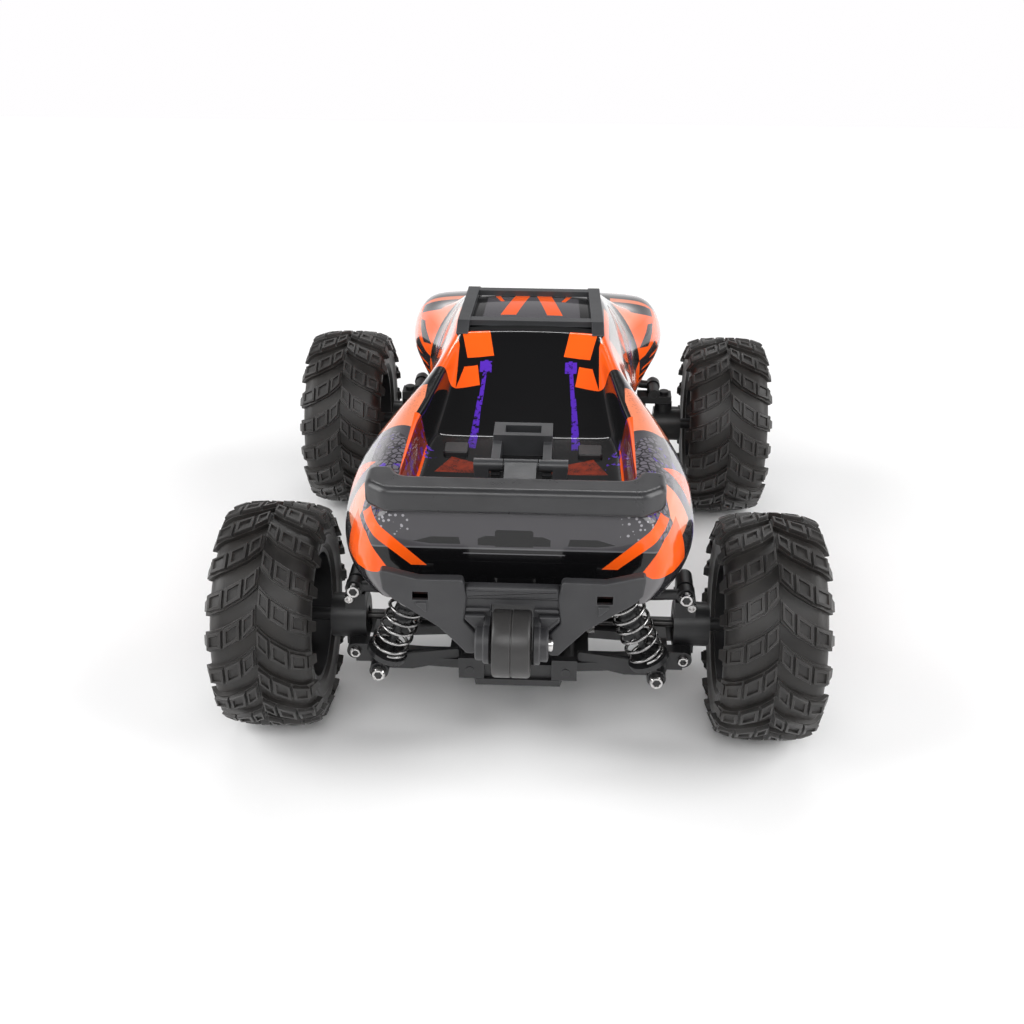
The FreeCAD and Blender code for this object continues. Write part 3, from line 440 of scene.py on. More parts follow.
def printed_shell(name):
    """Clear-coated printed body: black, with orange, grey and purple shapes mirrored on both sides."""
    g = Graph(name)
    x, y, z = g.split(g.vector("MULTIPLY", g.place, (1000.0, 1000.0, 1000.0)))
    out = g.math("ABSOLUTE", x)
    rear_plane = g.joined(out, z, 1.0)
    top_plane = g.joined(out, y, 1.0)
    side_plane = g.joined(y, z, 1.0)
    speckle = g.noise(260.0, 5.0, 0.7)
    torn = g.noise(500.0, 4.0, 0.7)
    base = INK

    def every(*masks):
        return g.chain("MULTIPLY", *masks)

    def either(*masks):
        return g.chain("MAXIMUM", *masks)

    def outside(mask):
        return g.math("SUBTRACT", 1.0, mask)

    def above(value, limit):
        return g.spread(value, limit - PRINT_EDGE, limit + PRINT_EDGE)

    def below(value, limit):
        return g.spread(value, limit + PRINT_EDGE, limit - PRINT_EDGE)

    def within(value, low, high):
        return every(above(value, low), below(value, high))

    def paint(mask, colour):
        nonlocal base
        base = g.mix(mask, base, colour)

    def print_shapes(zone, plane, *shapes):
        """Paint convex outlines inside a zone, each given after its colour."""
        for colour, points in shapes:
            paint(every(zone, g.region(plane, points)), colour)

    # zones of the body
    tail = below(y, -124.6)
    bed_edge = g.spread(y, -60.0, 3.0, 38.2, 28.2)
    bed = every(within(y, -120.5, 4), above(g.math("SUBTRACT", bed_edge, out), 0))
    wall = every(within(y, -119, -58), within(out, 34.2, 38.4))
    crest = outside(bed)
    haunch = every(above(z, 91), outside(tail), crest, below(y, -22), above(out, 36))

    # haunches over the rear wheels, and the insides of the bed walls
    dots = g.spread(g.cells(900.0), 0.32, 0.28)
    weave = g.spread(g.cells(420.0, feature="DISTANCE_TO_EDGE"), 0.05, 0.16)
    carbon = g.mix(weave, (0.016, 0.015, 0.018), (0.125, 0.115, 0.135))
    carbon = g.mix(g.spread(speckle, 0.60, 0.66), carbon, PURPLE)
    dotted = g.mix(every(dots, g.spread(y, -66.0, -40.0)), PALE_ORANGE, (0.45, 0.15, 0.10))
    paint(every(haunch, below(y, -28)), GREY)
    print_shapes(
        haunch, top_plane,
        (dotted, [(30, -38), (62, -30), (62, -62), (30, -72)]),
        (ORANGE, [(30, -86), (52, -58), (62, -58), (62, -61), (53, -60.6), (30, -90)]),
        (carbon, [(30, -90), (52.5, -60.8), (62, -61), (62, -128), (30, -128)]),
        (ORANGE, [(60, -73), (62, -73), (62, -91), (47.5, -93)]),
        (PALE_ORANGE, [(46, -103), (62, -99), (62, -113), (49, -116)]))
    paint(every(wall, within(z, 100.2, 112.2)), g.mix(g.spread(speckle, 0.56, 0.62), DEEP_RED, PURPLE))
    paint(every(wall, either(above(z, 112.3), within(z, 100.2, 101.2))), ORANGE)

    # load bed and rear window
    red = g.mix(g.spread(speckle, 0.40, 0.60), (0.11, 0.012, 0.004), (0.26, 0.026, 0.006))
    print_shapes(bed, top_plane, (red, [(9, -76), (30, -76), (25, -63.5), (16, -68)]))
    flecks = g.spread(g.noise(330.0, 3.0, 0.6), 0.56, 0.60)
    print_shapes(every(bed, flecks), top_plane,
                 (PURPLE, [(29, -72), (34.5, -72), (34.5, -56), (31, -58)]))
    streaks = either(g.region(top_plane, [(17.2, -56), (20.6, -56), (18.4, -26), (16.8, -26)]),
                     g.region(top_plane, [(16.6, -30), (18.2, -30), (16.8, -9), (15.4, -9)]),
                     g.region(top_plane, [(14, -14.5), (18.5, -14.5), (18.5, -9.5), (14, -9.5)]))
    paint(every(bed, streaks, g.spread(torn, 0.40, 0.46)), PURPLE)
    print_shapes(
        within(y, -40, 4), top_plane,
        (ORANGE, [(13.4, -7), (23.5, -8.5), (26.5, 4), (15.6, 4)]),
        (ORANGE, [(18, -20.5), (19.4, -11.5), (24.4, -12.6), (27, -23)]),
        (ORANGE, [(27, -23), (26.8, 3), (37, 3), (37, -22)]),
        (INK, [(23.5, -8.6), (25.6, -8.8), (28.9, 4), (26.9, 4)]))

    # roof, pillars and side glass
    print_shapes(
        every(above(z, 112), within(y, 4, 66)), top_plane,
        ((0.07, 0.066, 0.074), [(-1, 15), (19.5, 15), (18.5, 42), (-1, 42)]),
        (ORANGE, [(0.6, 47), (6.6, 47), (12.4, 20), (6.2, 20)]),
        (ORANGE, [(11.6, 36), (13.2, 36), (17, 47), (14.6, 47)]))
    pillar = every(above(z, 98), above(out, 28.9), within(y, 2, 34))
    paint(pillar, g.mix(g.spread(y, 18.0, 32.0), ORANGE, PALE_ORANGE))
    glass = every(within(z, 101, 118.5), within(y, 4, 56))
    paint(every(glass, crest, above(out, 28.5)), INK)

    # flanks
    flank = every(within(y, -60, 80), below(z, 97.5))
    print_shapes(
        flank, side_plane,
        (ORANGE, [(-58, 92), (-20, 97), (30, 84), (-10, 76)]),
        (GREY, [(-10, 74), (38, 82), (70, 96), (20, 97.5)]),
        (ORANGE, [(0, 60), (46, 78), (76, 92), (60, 66)]),
        (INK, [(8, 64), (30, 70), (52, 64), (30, 58)]))
    print_shapes(every(flank, g.spread(torn, 0.42, 0.48)), side_plane,
                 (PURPLE, [(-16, 79), (30, 86), (62, 97), (54, 97)]))
    paint(every(below(z, 96), below(y, -60), outside(tail)), (0.02, 0.019, 0.022))
    freckled = g.mix(g.spread(speckle, 0.5, 0.56), (0.03, 0.028, 0.035), PURPLE)
    print_shapes(every(below(z, 94), within(y, -122, -60)), side_plane,
                 (freckled, [(-104, 80), (-96, 80), (-90, 94), (-98, 94)]))

    # front fenders and bonnet
    fender = every(above(y, 66), either(above(out, 33), below(z, 90)))
    paint(fender, g.mix(g.spread(z, 99.0, 103.0), ORANGE, PALE_ORANGE))
    claw = (0.022, 0.019, 0.022)
    print_shapes(
        fender, side_plane,
        (claw, [(78, 104), (86, 110), (97, 99), (92, 97)]),
        (claw, [(68, 91), (82, 97), (88, 95.5), (76, 89)]),
        (claw, [(98, 104), (112, 103), (104, 92), (100, 93)]),
        (claw, [(112, 100), (126, 96), (110, 88), (106, 90)]),
        (claw, [(64, 84), (84, 89), (86, 86.5), (66, 80)]))
    slats = g.spread(g.math("FRACT", g.math("MULTIPLY", z, 0.36)), 0.30, 0.36)
    paint(every(fender, within(z, 74.5, 86), below(y, 98), slats), (0.016, 0.014, 0.016))
    paint(every(fender, below(z, 74), below(y, 100)), (0.17, 0.020, 0.006))
    print_shapes(
        every(above(y, 84), below(out, 33)), top_plane,
        (ORANGE, [(3, 84), (9, 84), (14, 138), (5, 138)]),
        (GREY, [(16, 96), (26, 88), (30, 128), (20, 134)]))

    # tail panel
    band = every(tail, above(z, 97.8))
    paint(band, (0.056, 0.054, 0.059))
    corner_dots = every(g.spread(g.cells(620.0), 0.30, 0.26), above(out, 33.0), above(z, 101.5))
    paint(every(band, corner_dots), (0.30, 0.29, 0.31))
    paint(every(tail, within(z, 97.2, 97.8)), (0.11, 0.11, 0.115))
    paint(every(tail, within(z, 95.5, 95.9), below(out, 16)), (0.10, 0.10, 0.105))
    print_shapes(
        tail, rear_plane,
        (INK, [(-1, 98.2), (6, 98.2), (6, 103.6), (5.4, 104.2), (-1, 104.2)]),
        (INK, [(5.8, 98.6), (11.4, 98.6), (11.4, 101), (9, 102), (5.8, 102)]),
        (INK, [(16.8, 98.9), (26, 98.9), (31.8, 99.6), (26, 101.4), (17.4, 101.4)]))
    paint(every(tail, below(z, 89.5), above(out, 40)), (0.13, 0.125, 0.13))
    print_shapes(
        every(below(y, -112), below(z, 108.6)), rear_plane,
        (ORANGE, [(48.6, 104.6), (45.6, 108), (27.6, 91), (32.6, 91)]),
        (ORANGE, [(60, 106), (50, 105.4), (47, 100.6), (38, 94.8), (37.4, 91.2), (43.5, 88),
                  (60, 88)]))

    wave = g.noise(45.0, 2.0)
    g.set(Base_Color=base, Roughness=g.spread(wave, 0.3, 0.7, 0.13, 0.18), Specular_IOR_Level=0.2,
          Coat_Weight=1.0, Coat_Roughness=0.03, Coat_IOR=1.30, Normal=g.bump(wave, 0.00020, 0.4))
    return g.material


def shell_inside(name):
    """Black paint on the inside of the clear body, with soft spray texture."""
    g = Graph(name)
    spray = g.noise(700.0, 4.0, 0.7)
    g.set(Base_Color=g.mix(g.spread(spray, 0.3, 0.7), (0.008, 0.008, 0.009), (0.016, 0.016, 0.017)),
          Roughness=g.spread(spray, 0.3, 0.7, 0.45, 0.62), Normal=g.bump(spray, 0.00006))
    return g.material


# name: dark and light colour, lowest and highest roughness
PLASTICS = {
    "rim_plastic": ((0.010, 0.010, 0.011), (0.018, 0.018, 0.019), 0.30, 0.46),
    "nylon": ((0.011, 0.011, 0.012), (0.019, 0.019, 0.020), 0.34, 0.50),
    "tub_plastic": ((0.012, 0.012, 0.013), (0.020, 0.020, 0.021), 0.38, 0.55),
    "shock_plastic": ((0.012, 0.012, 0.013), (0.018, 0.018, 0.019), 0.22, 0.36),
    "battery_wrap": ((0.015, 0.017, 0.024), (0.022, 0.025, 0.034), 0.20, 0.35),
    "electronics": ((0.016, 0.016, 0.017), (0.024, 0.024, 0.025), 0.35, 0.50),
    "bumper_plastic": ((0.020, 0.020, 0.022), (0.031, 0.031, 0.033), 0.42, 0.56),
    "gear_plastic": ((0.030, 0.030, 0.031), (0.045, 0.045, 0.046), 0.30, 0.45),
    "satin_trim": ((0.028, 0.029, 0.031), (0.042, 0.043, 0.046), 0.30, 0.44),
    # the tail pad's plastic is a darker copy of the satin trim: painted shade for the pad's dark rear face
    "shaded_pad_plastic": ((0.018, 0.018, 0.019), (0.028, 0.028, 0.030), 0.26, 0.36),
    "roller_plastic": ((0.022, 0.021, 0.021), (0.033, 0.032, 0.031), 0.30, 0.50),
}
METALS = {
    "steel": ((0.42, 0.41, 0.41), (0.62, 0.61, 0.60), 0.20, 0.32),
    "spring_wire": ((0.26, 0.255, 0.255), (0.42, 0.415, 0.41), 0.20, 0.30),
    "dark_steel": ((0.035, 0.034, 0.034), (0.070, 0.068, 0.067), 0.30, 0.42),
    "motor_can": ((0.30, 0.30, 0.31), (0.45, 0.45, 0.46), 0.25, 0.42, (300.0, 3000.0, 300.0)),
}
MATERIALS = {"tyre": rubber("tyre_rubber"), "shell": printed_shell("printed_shell"),
             "shell_inside": shell_inside("shell_inside")}
for name, values in PLASTICS.items():
    MATERIALS[name] = moulded_plastic(name, *values)
for name, values in METALS.items():
    MATERIALS[name] = bright_metal(name, *values)


# ---------------- tyres
TREAD_BARS = 18
CROWN_HALF = 0.0119
CARCASS_TOP = TYRE_RADIUS - 0.0030
SHOULDER_ROUND = 0.0056
TREAD_ROOT = -0.0004     # how far the blocks start below the carcass
# each block of a bar: from and to across the tread, half length at both ends, height, depth of the sunk panel
TREAD_BLOCKS = (
    (0.0006, 0.0044, 0.0030, 0.0034, 0.0030, 0.0008),
    (0.0052, 0.0110, 0.0034, 0.0034, 0.0030, 0.0009),
    (0.0118, 0.0158, 0.0032, 0.0030, 0.0027, 0.0008),
    (0.0164, 0.0202, 0.0026, 0.0022, 0.0019, 0.0),
)
# x and radius down the side wall, round the bead and along the inside
TYRE_BEAD = (
    (0.0169, 0.0300), (0.0172, 0.0292), (0.0168, 0.0284), (0.0166, 0.0268), (0.0164, 0.0258),
    (0.0156, 0.0252), (0.0148, 0.0247), (0.0148, 0.0278), (0.0150, 0.0310), (0.0110, 0.0355),
)


def tread_place(across, around, height):
    """A point of the tread as (x, radius, angle). across runs from the middle over the shoulder."""
    side = 1.0 if across >= 0 else -1.0
    across = abs(across)
    edge_radius = CARCASS_TOP - 4.0 * CROWN_HALF ** 2
    if across <= CROWN_HALF:
        x = across
        radius = CARCASS_TOP - 4.0 * across ** 2 + height
    else:
        turn = min((across - CROWN_HALF) / SHOULDER_ROUND, math.pi / 2)
        down = max(0.0, across - CROWN_HALF - SHOULDER_ROUND * math.pi / 2)
        x = CROWN_HALF + (SHOULDER_ROUND + height) * math.sin(turn)
        radius = edge_radius - SHOULDER_ROUND + (SHOULDER_ROUND + height) * math.cos(turn) - down
    return side * x, radius, around / TYRE_RADIUS


def tread_vertex(bm, centre, across, around, height, phase):
    x, radius, angle = tread_place(across, around, height)
    angle += phase
    y = centre.y - radius * math.cos(angle)
    z = centre.z + radius * math.sin(angle)
    return bm.verts.new((centre.x + x, y, z))


def sweep(across):
    """How far a bar leads or lags round the tyre, at a distance from the middle."""
    points = ((0.0, 0.0072), (0.0040, 0.0030), (0.0108, -0.0012), (0.0165, -0.0036), (0.0205, -0.0042))
    for (s0, a0), (s1, a1) in zip(points, points[1:]):
        if across <= s1:
            return a0 + (a1 - a0) * (across - s0) / (s1 - s0)
    return points[-1][1]


def add_block(bm, centre, side, phase, inner, outer, half_inner, half_outer, height, hollow):
    """One closed tread block between two distances from the middle, with a sunk panel on top."""
    corners = [(inner, sweep(inner) - half_inner), (outer, sweep(outer) - half_outer),
               (outer, sweep(outer) + half_outer), (inner, sweep(inner) + half_inner)]
    mid_s = sum(c[0] for c in corners) / 4
    mid_a = sum(c[1] for c in corners) / 4

    def ring(share, level):
        return [tread_vertex(bm, centre, side * (mid_s + (x - mid_s) * share), mid_a + (a - mid_a) * share,
                             level, phase) for x, a in corners]

    rings = [ring(1.08, TREAD_ROOT), ring(1.0, height - 0.0004), ring(0.93, height)]
    if hollow:
        rings += [ring(0.64, height), ring(0.56, height - hollow)]
    join_rings(bm, rings)


def add_band(bm, centre, side, phase, start, end, half, height, steps=8):
    """The low band that joins the blocks of one bar."""
    section = ((-half - 0.0003, TREAD_ROOT), (-half, height), (half, height), (half + 0.0003, TREAD_ROOT))
    rings = []
    for step in range(steps + 1):
        across = start + (end - start) * step / steps
        lead = sweep(across)
        rings.append([tread_vertex(bm, centre, side * across, lead + shift, level, phase)
                      for shift, level in section])
    join_rings(bm, rings)


def make_tyre(end, side):
    centre = wheel_centre(end, side)
    bm = bmesh.new()
    outer = []
    for step in range(25):
        across = 0.0210 * (step - 12) / 12
        x, radius, _ = tread_place(across, 0.0, 0.0)
        outer.append((x, radius))
    profile = outer + list(TYRE_BEAD) + [(-x, r) for x, r in reversed(TYRE_BEAD)]
    add_lathe(bm, centre, (1, 0, 0), profile, steps=144, closed=True)
    pitch = 2 * math.pi / TREAD_BARS
    for bar in range(TREAD_BARS):
        for half, shift in ((-1, 0.0), (1, 0.5)):
            phase = (bar + shift) * pitch
            add_band(bm, centre, half, phase, 0.0003, 0.0180, 0.0040, 0.0015)
            for block in TREAD_BLOCKS:
                add_block(bm, centre, half, phase, *block)
    name = f"{end}_{side}_tread_tyre"
    piece = finish_mesh(name, bm, f"{end}_{side}_wheel", "tyre", sharp=38.0)
    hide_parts(f"{end}_{side}_tyre")


for corner in CORNERS:
    make_tyre(*corner)


# ---------------- springs
# the shocks' pivots in a corner's own directions, in mm, and where the spring sits between them
SHOCK_TOP = (29.0, 21.0, 80.0)
SHOCK_FOOT = {"rear": (48.8, 21.0, 32.5), "front": (42.4, 21.0, 33.0)}
COLLAR_BELOW_TOP = 0.0135
CUP_ABOVE_FOOT = 0.0089


def corner_sign(end, side):
    """Signs of the directions out of the truck's side and out of its end."""
    return (-1 if side == "left" else 1), (-1 if end == "rear" else 1)


def corner_place(end, side, u, v, z):
    """A point given in a corner's own directions: u outwards, v away from the truck's middle."""
    sx, sy = corner_sign(end, side)
    return Vector((sx * u * MM, AXLE_Y[end] + sy * v * MM, z * MM))


def make_spring(end, side, coils=6.5, wire=0.00062, radius=0.00598, steps=26, sides=10):
    """Coil spring with closed and ground ends, from the collar to the cup."""
    top = corner_place(end, side, *SHOCK_TOP)
    low = corner_place(end, side, *SHOCK_FOOT[end])
    start = COLLAR_BELOW_TOP
    finish = (low - top).length - CUP_ABOVE_FOOT
    down, first, second = axes_for(low - top)
    bm = bmesh.new()
    total = coils + 1.5
    rings = []
    count = int(total * steps)
    for step in range(count + 1):
        turn = total * step / count
        if turn < 0.75:
            climb = 0.16 * turn
        elif turn > total - 0.75:
            climb = coils - 0.16 * (total - turn)
        else:
            climb = 0.12 + (coils - 0.24) * (turn - 0.75) / (total - 1.5)
        distance = start + wire + (finish - start - 2 * wire) * climb / coils
        outward = spoke(first, second, 2 * math.pi * turn)
        centre = top + down * distance + outward * radius
        rings.append([bm.verts.new(centre + wire * spoke(outward, down, 2 * math.pi * k / sides))
                      for k in range(sides)])
    join_rings(bm, rings)
    piece = finish_mesh(f"{end}_{side}_coil", bm, None, "spring_wire", 60.0)
    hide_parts(f"{end}_{side}_spring")
    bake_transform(piece)


for corner in CORNERS:
    make_spring(*corner)


# ---------------- body shell
# y, then half widths and heights (mm) of the sill, the widest line, the shoulder and the top edge
SHELL_STATIONS = (
    (-126.5, (43, 48.5, 46, 40), (79, 88, 101, 110.5)),
    (-112, (50, 55, 52, 43), (77, 86, 101, 112.5)),
    (-92, (53.5, 59.5, 56, 44), (76, 84, 100, 113.5)),
    (-68, (53.5, 59.5, 56.5, 43), (76, 84, 100, 113.5)),
    (-48, (48, 54, 52, 41), (74, 84, 99, 114.5)),
    (-20, (38, 43.5, 42.5, 34), (58, 78, 97, 117.5)),
    (2, (38, 42.5, 41.5, 30), (54, 76, 96, 120.5)),
    (40, (38, 42.5, 41, 29), (54, 76, 96, 121.5)),
    (62, (40, 45, 42.5, 28), (58, 78, 96, 118)),
    (84, (46, 54.5, 51, 37), (72, 80, 97.5, 105)),
    (108, (48, 58, 53.5, 41), (73, 80, 97, 102)),
    (128, (44, 52, 47, 36), (67, 75, 90, 95)),
    (140, (36, 39, 35, 24), (69, 73, 80, 85)),
)
POCKET_PLAN = ((-119, 37.5), (-60, 36), (-46, 33.6), (3, 26), (40, 25.4), (140, 21))
ARCH_RADIUS = 45.5
ARCHES = ((REAR_Y / MM, AXLE_Z / MM - 4), (FRONT_Y / MM, AXLE_Z / MM - 7))
BED_FLOOR = 99.0
BED_BACK = (-120.2, -117.6)
WINDOW_FOLD = -46.0
WINDOW_TOP = 2.5
TAIL_PLANE = -126.5
NOSE_PLANE = 140.0
HINGE_Y, HINGE_Z = 127.0, 72.0
SIDE_POINTS = 7
TAIL_CORNER = 3.6        # how far the rounded corners reach forward from the tail plane
NOSE_CORNER = 5.0        # and backward from the nose plane
NOTCH_HALF = 18.0        # the tail's lower edge is raised over the roller
NOTCH_TOP = 83.0
SHELL_WALL = 1.2


def smooth_value(y, places, values):
    """Cubic curve through the given values, with slopes taken from the neighbours."""
    if y <= places[0]:
        return values[0]
    for k in range(len(places) - 1):
        if y <= places[k + 1]:
            break
    else:
        return values[-1]
    span = places[k + 1] - places[k]
    t = (y - places[k]) / span

    def slope(i):
        low, high = max(i - 1, 0), min(i + 1, len(places) - 1)
        return (values[high] - values[low]) / (places[high] - places[low])

    t2, t3 = t * t, t * t * t
    return ((2 * t3 - 3 * t2 + 1) * values[k] + (t3 - 2 * t2 + t) * span * slope(k)
            + (3 * t2 - 2 * t3) * values[k + 1] + (t3 - t2) * span * slope(k + 1))


def straight_value(y, pairs):
    if y <= pairs[0][0]:
        return pairs[0][1]
    for (y0, v0), (y1, v1) in zip(pairs, pairs[1:]):
        if y <= y1:
            return v0 + (v1 - v0) * (y - y0) / (y1 - y0)
    return pairs[-1][1]


def shell_levels(y):
    """Half widths and heights of the four lines of the side at y, with the wheel arch let in."""
    places = [station[0] for station in SHELL_STATIONS]
    halves = [smooth_value(y, places, [station[1][k] for station in SHELL_STATIONS]) for k in range(4)]
    heights = [smooth_value(y, places, [station[2][k] for station in SHELL_STATIONS]) for k in range(4)]
    for arch_y, arch_z in ARCHES:
        reach = ARCH_RADIUS ** 2 - (y - arch_y) ** 2
        if reach > 0 and halves[0] > 44.0:
            heights[0] = max(heights[0], arch_z + math.sqrt(reach))
    heights[1] = max(heights[1], heights[0] + 1.6)
    return halves, heights


def shell_profile(y):
    """Right half of the skin at y, from the sill over the top to the middle, as (x, z) in mm."""
    (hs, hw, hh, ht), (zs, zw, zh, zt) = shell_levels(y)
    side = [(hs, zs), ((hs + hw) / 2 + 0.8, (zs + zw) / 2), (hw, zw), ((hw + hh) / 2 + 1.0, (zw + zh) / 2),
            (hh, zh), ((hh + ht) / 2 + 1.2, (zh + zt) / 2 + 1.4), (ht, zt)]
    pocket = straight_value(y, POCKET_PLAN)
    floor = zt
    if BED_BACK[1] <= y <= WINDOW_FOLD:
        floor = BED_FLOOR
    elif WINDOW_FOLD < y < WINDOW_TOP:
        floor = BED_FLOOR + (zt - BED_FLOOR) * (y - WINDOW_FOLD) / (WINDOW_TOP - WINDOW_FOLD)
    depth = zt - floor
    share = max(0.0, min(1.0, depth / 5.0))
    crown = 1.2 if share == 0 else 0.0
    lip = min(pocket + 1.4, ht - 1.6)
    inner = [(lip, zt - 0.3 * share), (lip - 1.1, zt - 1.6 * share), (lip - 2.2, floor + 1.6 * share),
             (lip - 4.2, floor + 0.1 * share), (lip * 0.45, floor), (0.0, floor)]
    top = [(x, z + crown * (1 - (x / ht) ** 2)) for x, z in inner]
    return side + top


def shell_rows():
    """Places along the shell, closer together where it folds."""
    rows = [-121.6, BED_BACK[0], BED_BACK[1], -116.2]
    rows += [-111.0 + 6.0 * k for k in range(11)]
    rows += [WINDOW_FOLD - 1.6, WINDOW_FOLD, WINDOW_FOLD + 1.8]
    rows += [-39.0 + 6.5 * k for k in range(6)]
    rows += [0.4, WINDOW_TOP, 4.4]
    rows += [9.0 + 6.0 * k for k in range(22)]
    return rows


def cap_shift(fraction, depth, radius=0.10):
    """How far forward of the end plane the skin lies, towards the rounded corner at fraction 1."""
    over = max(0.0, (abs(fraction) - (1.0 - radius)) / radius)
    return depth * over ** 2


def build_shell_skin(bm):
    """The printed body's outer skin: rows of points along its length, and a panel at each end."""
    profiles = [(TAIL_PLANE, shell_profile(-124.0))] + [(y, shell_profile(y)) for y in shell_rows()]
    profiles.append((NOSE_PLANE, shell_profile(NOSE_PLANE)))
    rows = []
    last = len(profiles) - 1
    for index, (y, profile) in enumerate(profiles):
        top_half = profile[SIDE_POINTS - 1][0]
        right = []
        for k, (x, z) in enumerate(profile):
            place_y = y
            fraction = 1.0 if k < SIDE_POINTS else x / top_half
            if index == 0:
                place_y = y + cap_shift(fraction, TAIL_CORNER)
            elif index == last:
                place_y = y - cap_shift(fraction, NOSE_CORNER)
            right.append((x, place_y, z))
        verts = [bm.verts.new((x * MM, py * MM, z * MM)) for x, py, z in right]
        left = [bm.verts.new((-x * MM, py * MM, z * MM)) for x, py, z in right[:-1]]
        rows.append(verts + left[::-1])
    join_rows(bm, rows)
    for row, plane, profile, depth in ((rows[0], TAIL_PLANE, profiles[0][1], TAIL_CORNER),
                                       (rows[-1], NOSE_PLANE, profiles[-1][1], -NOSE_CORNER)):
        top_half = profile[SIDE_POINTS - 1][0]
        fractions = [x / top_half for x, z in profile[SIDE_POINTS:]]
        columns = fractions[:-1] + [0.0] + [-f for f in fractions[:-1]][::-1]
        grid = []
        for level in range(SIDE_POINTS - 1):
            half, z = profile[level]
            line = [row[level]]
            for fraction in columns:
                height = z
                if plane == TAIL_PLANE and abs(fraction * half) < NOTCH_HALF:
                    height = max(z, NOTCH_TOP + 0.4 * level)
                place_y = plane + cap_shift(fraction, depth)
                line.append(bm.verts.new((fraction * half * MM, place_y * MM, height * MM)))
            line.append(row[-1 - level])
            grid.append(line)
        grid.append(row[SIDE_POINTS - 1:len(row) - SIDE_POINTS + 1])
        join_rows(bm, grid)


def make_shell():
    bm = bmesh.new()
    build_shell_skin(bm)
    bmesh.ops.recalc_face_normals(bm, faces=bm.faces[:])
    roof = max(bm.faces, key=lambda face: face.calc_center_median().z)
    if roof.normal.z < 0:
        bmesh.ops.reverse_faces(bm, faces=bm.faces[:])
    mesh = mesh_from(bm, "printed_body")
    mesh.materials.append(MATERIALS["shell"])
    mesh.materials.append(MATERIALS["shell_inside"])
    piece = add_object("printed_body", mesh)
    rounding = piece.modifiers.new("rounding", "SUBSURF")
    rounding.levels = rounding.render_levels = 2
    wall = piece.modifiers.new("wall", "SOLIDIFY")
    wall.thickness = SHELL_WALL * MM
    wall.offset = -1.0
    wall.material_offset = 1
    wall.material_offset_rim = 1
    bake_modifiers(piece)
    smooth_by_angle(piece.data, 50.0)
    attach(piece, "body")
    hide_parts("body_shell")


def make_hinge_lugs():
    """The two ears inside the nose that hang on the front hinge pin."""
    bm = bmesh.new()
    back, front = HINGE_Y - 3.5, HINGE_Y + 3.5
    low_end = HINGE_Z - 3.4
    outline = [(back, 92.0), (back, low_end, 3.2), (front, low_end, 3.2), (front, 91.0)]
    for sign in (-1, 1):
        low, high = sorted((sign * 8.4, sign * 11.4))
        mm_slab(bm, outline, "x", low, high, 0.5, 5, (0.3, 0.3))
    finish_mesh("hinge_lugs", bm, "body", "shell_inside")


make_shell()
make_hinge_lugs()


# ---------------- tail pad
# x, y and corner radius of the pad's right half
PAD_HALF = ((40.5, -128.9, 7), (46.9, -123.4, 6), (47.2, -111.6, 3.8), (39.2, -110.9, 3.8),
            (36.4, -117.8, 7))
PAD_Z = (110.4, 118.8)


def make_pad():
    bm = bmesh.new()
    outline = list(PAD_HALF) + [(-x, y, r) for x, y, r in reversed(PAD_HALF)]
    mm_slab(bm, outline, "z", *PAD_Z, 0.0, 8, (2.0, 2.4), 7)
    # the pad's darker plastic is painted shade for its rear face
    piece = finish_mesh("rear_pad", bm, "body", "shaded_pad_plastic", 40.0)
    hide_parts("tail_pad")


def make_bed_pads():
    """The two small rectangular pads on the bed floor, ahead of the latch."""
    bm = bmesh.new()
    corners = ((19.5, -62.5), (28.2, -62.5), (28.2, -54), (19.5, -54))
    for sign in (-1, 1):
        outline = [(sign * x, y, 1.4) for x, y in corners]
        mm_slab(bm, outline, "z", BED_FLOOR - 0.2, BED_FLOOR + 1.5, 0, 5, (0, 0.5), 3)
    finish_mesh("bed_pads", bm, "body", "nylon", 40.0)


# ---------------- rear bumper and roller
PLATE_Y = (-136.4, -132.8)
WING_Y = (-137.8, -134.0)
BUMPER_HALF = [(39.8, 89), (37.2, 85.4), (22.6, 75.2), (16.8, 68.8), (15.2, 65.8)]
WING = [(15.4, 92.4), (29, 92.2), (41.4, 95.4), (40.4, 88), (37.6, 85), (23, 74.8), (17.2, 68.4),
        (14.6, 65.4), (11.4, 65.4), (11.4, 73), (15, 77.4), (14.2, 86)]


def both_sides(bm, outline, axis, low, high, rim=0.4, corner=0.6, steps=3):
    """The same mm slab on the right and on the left."""
    for sign in (-1, 1):
        mm_slab(bm, [(sign * p[0], *p[1:]) for p in outline], axis, low, high, corner, 3, (rim, rim), steps)


def add_box(bm, low, high):
    """A box between two corners in mm."""
    middle = [(a + b) / 2 * MM for a, b in zip(low, high)]
    size = [(b - a) * MM for a, b in zip(low, high)]
    bmesh.ops.create_cube(bm, size=1.0, matrix=Matrix.Translation(middle) @ Matrix.Diagonal((*size, 1.0)))


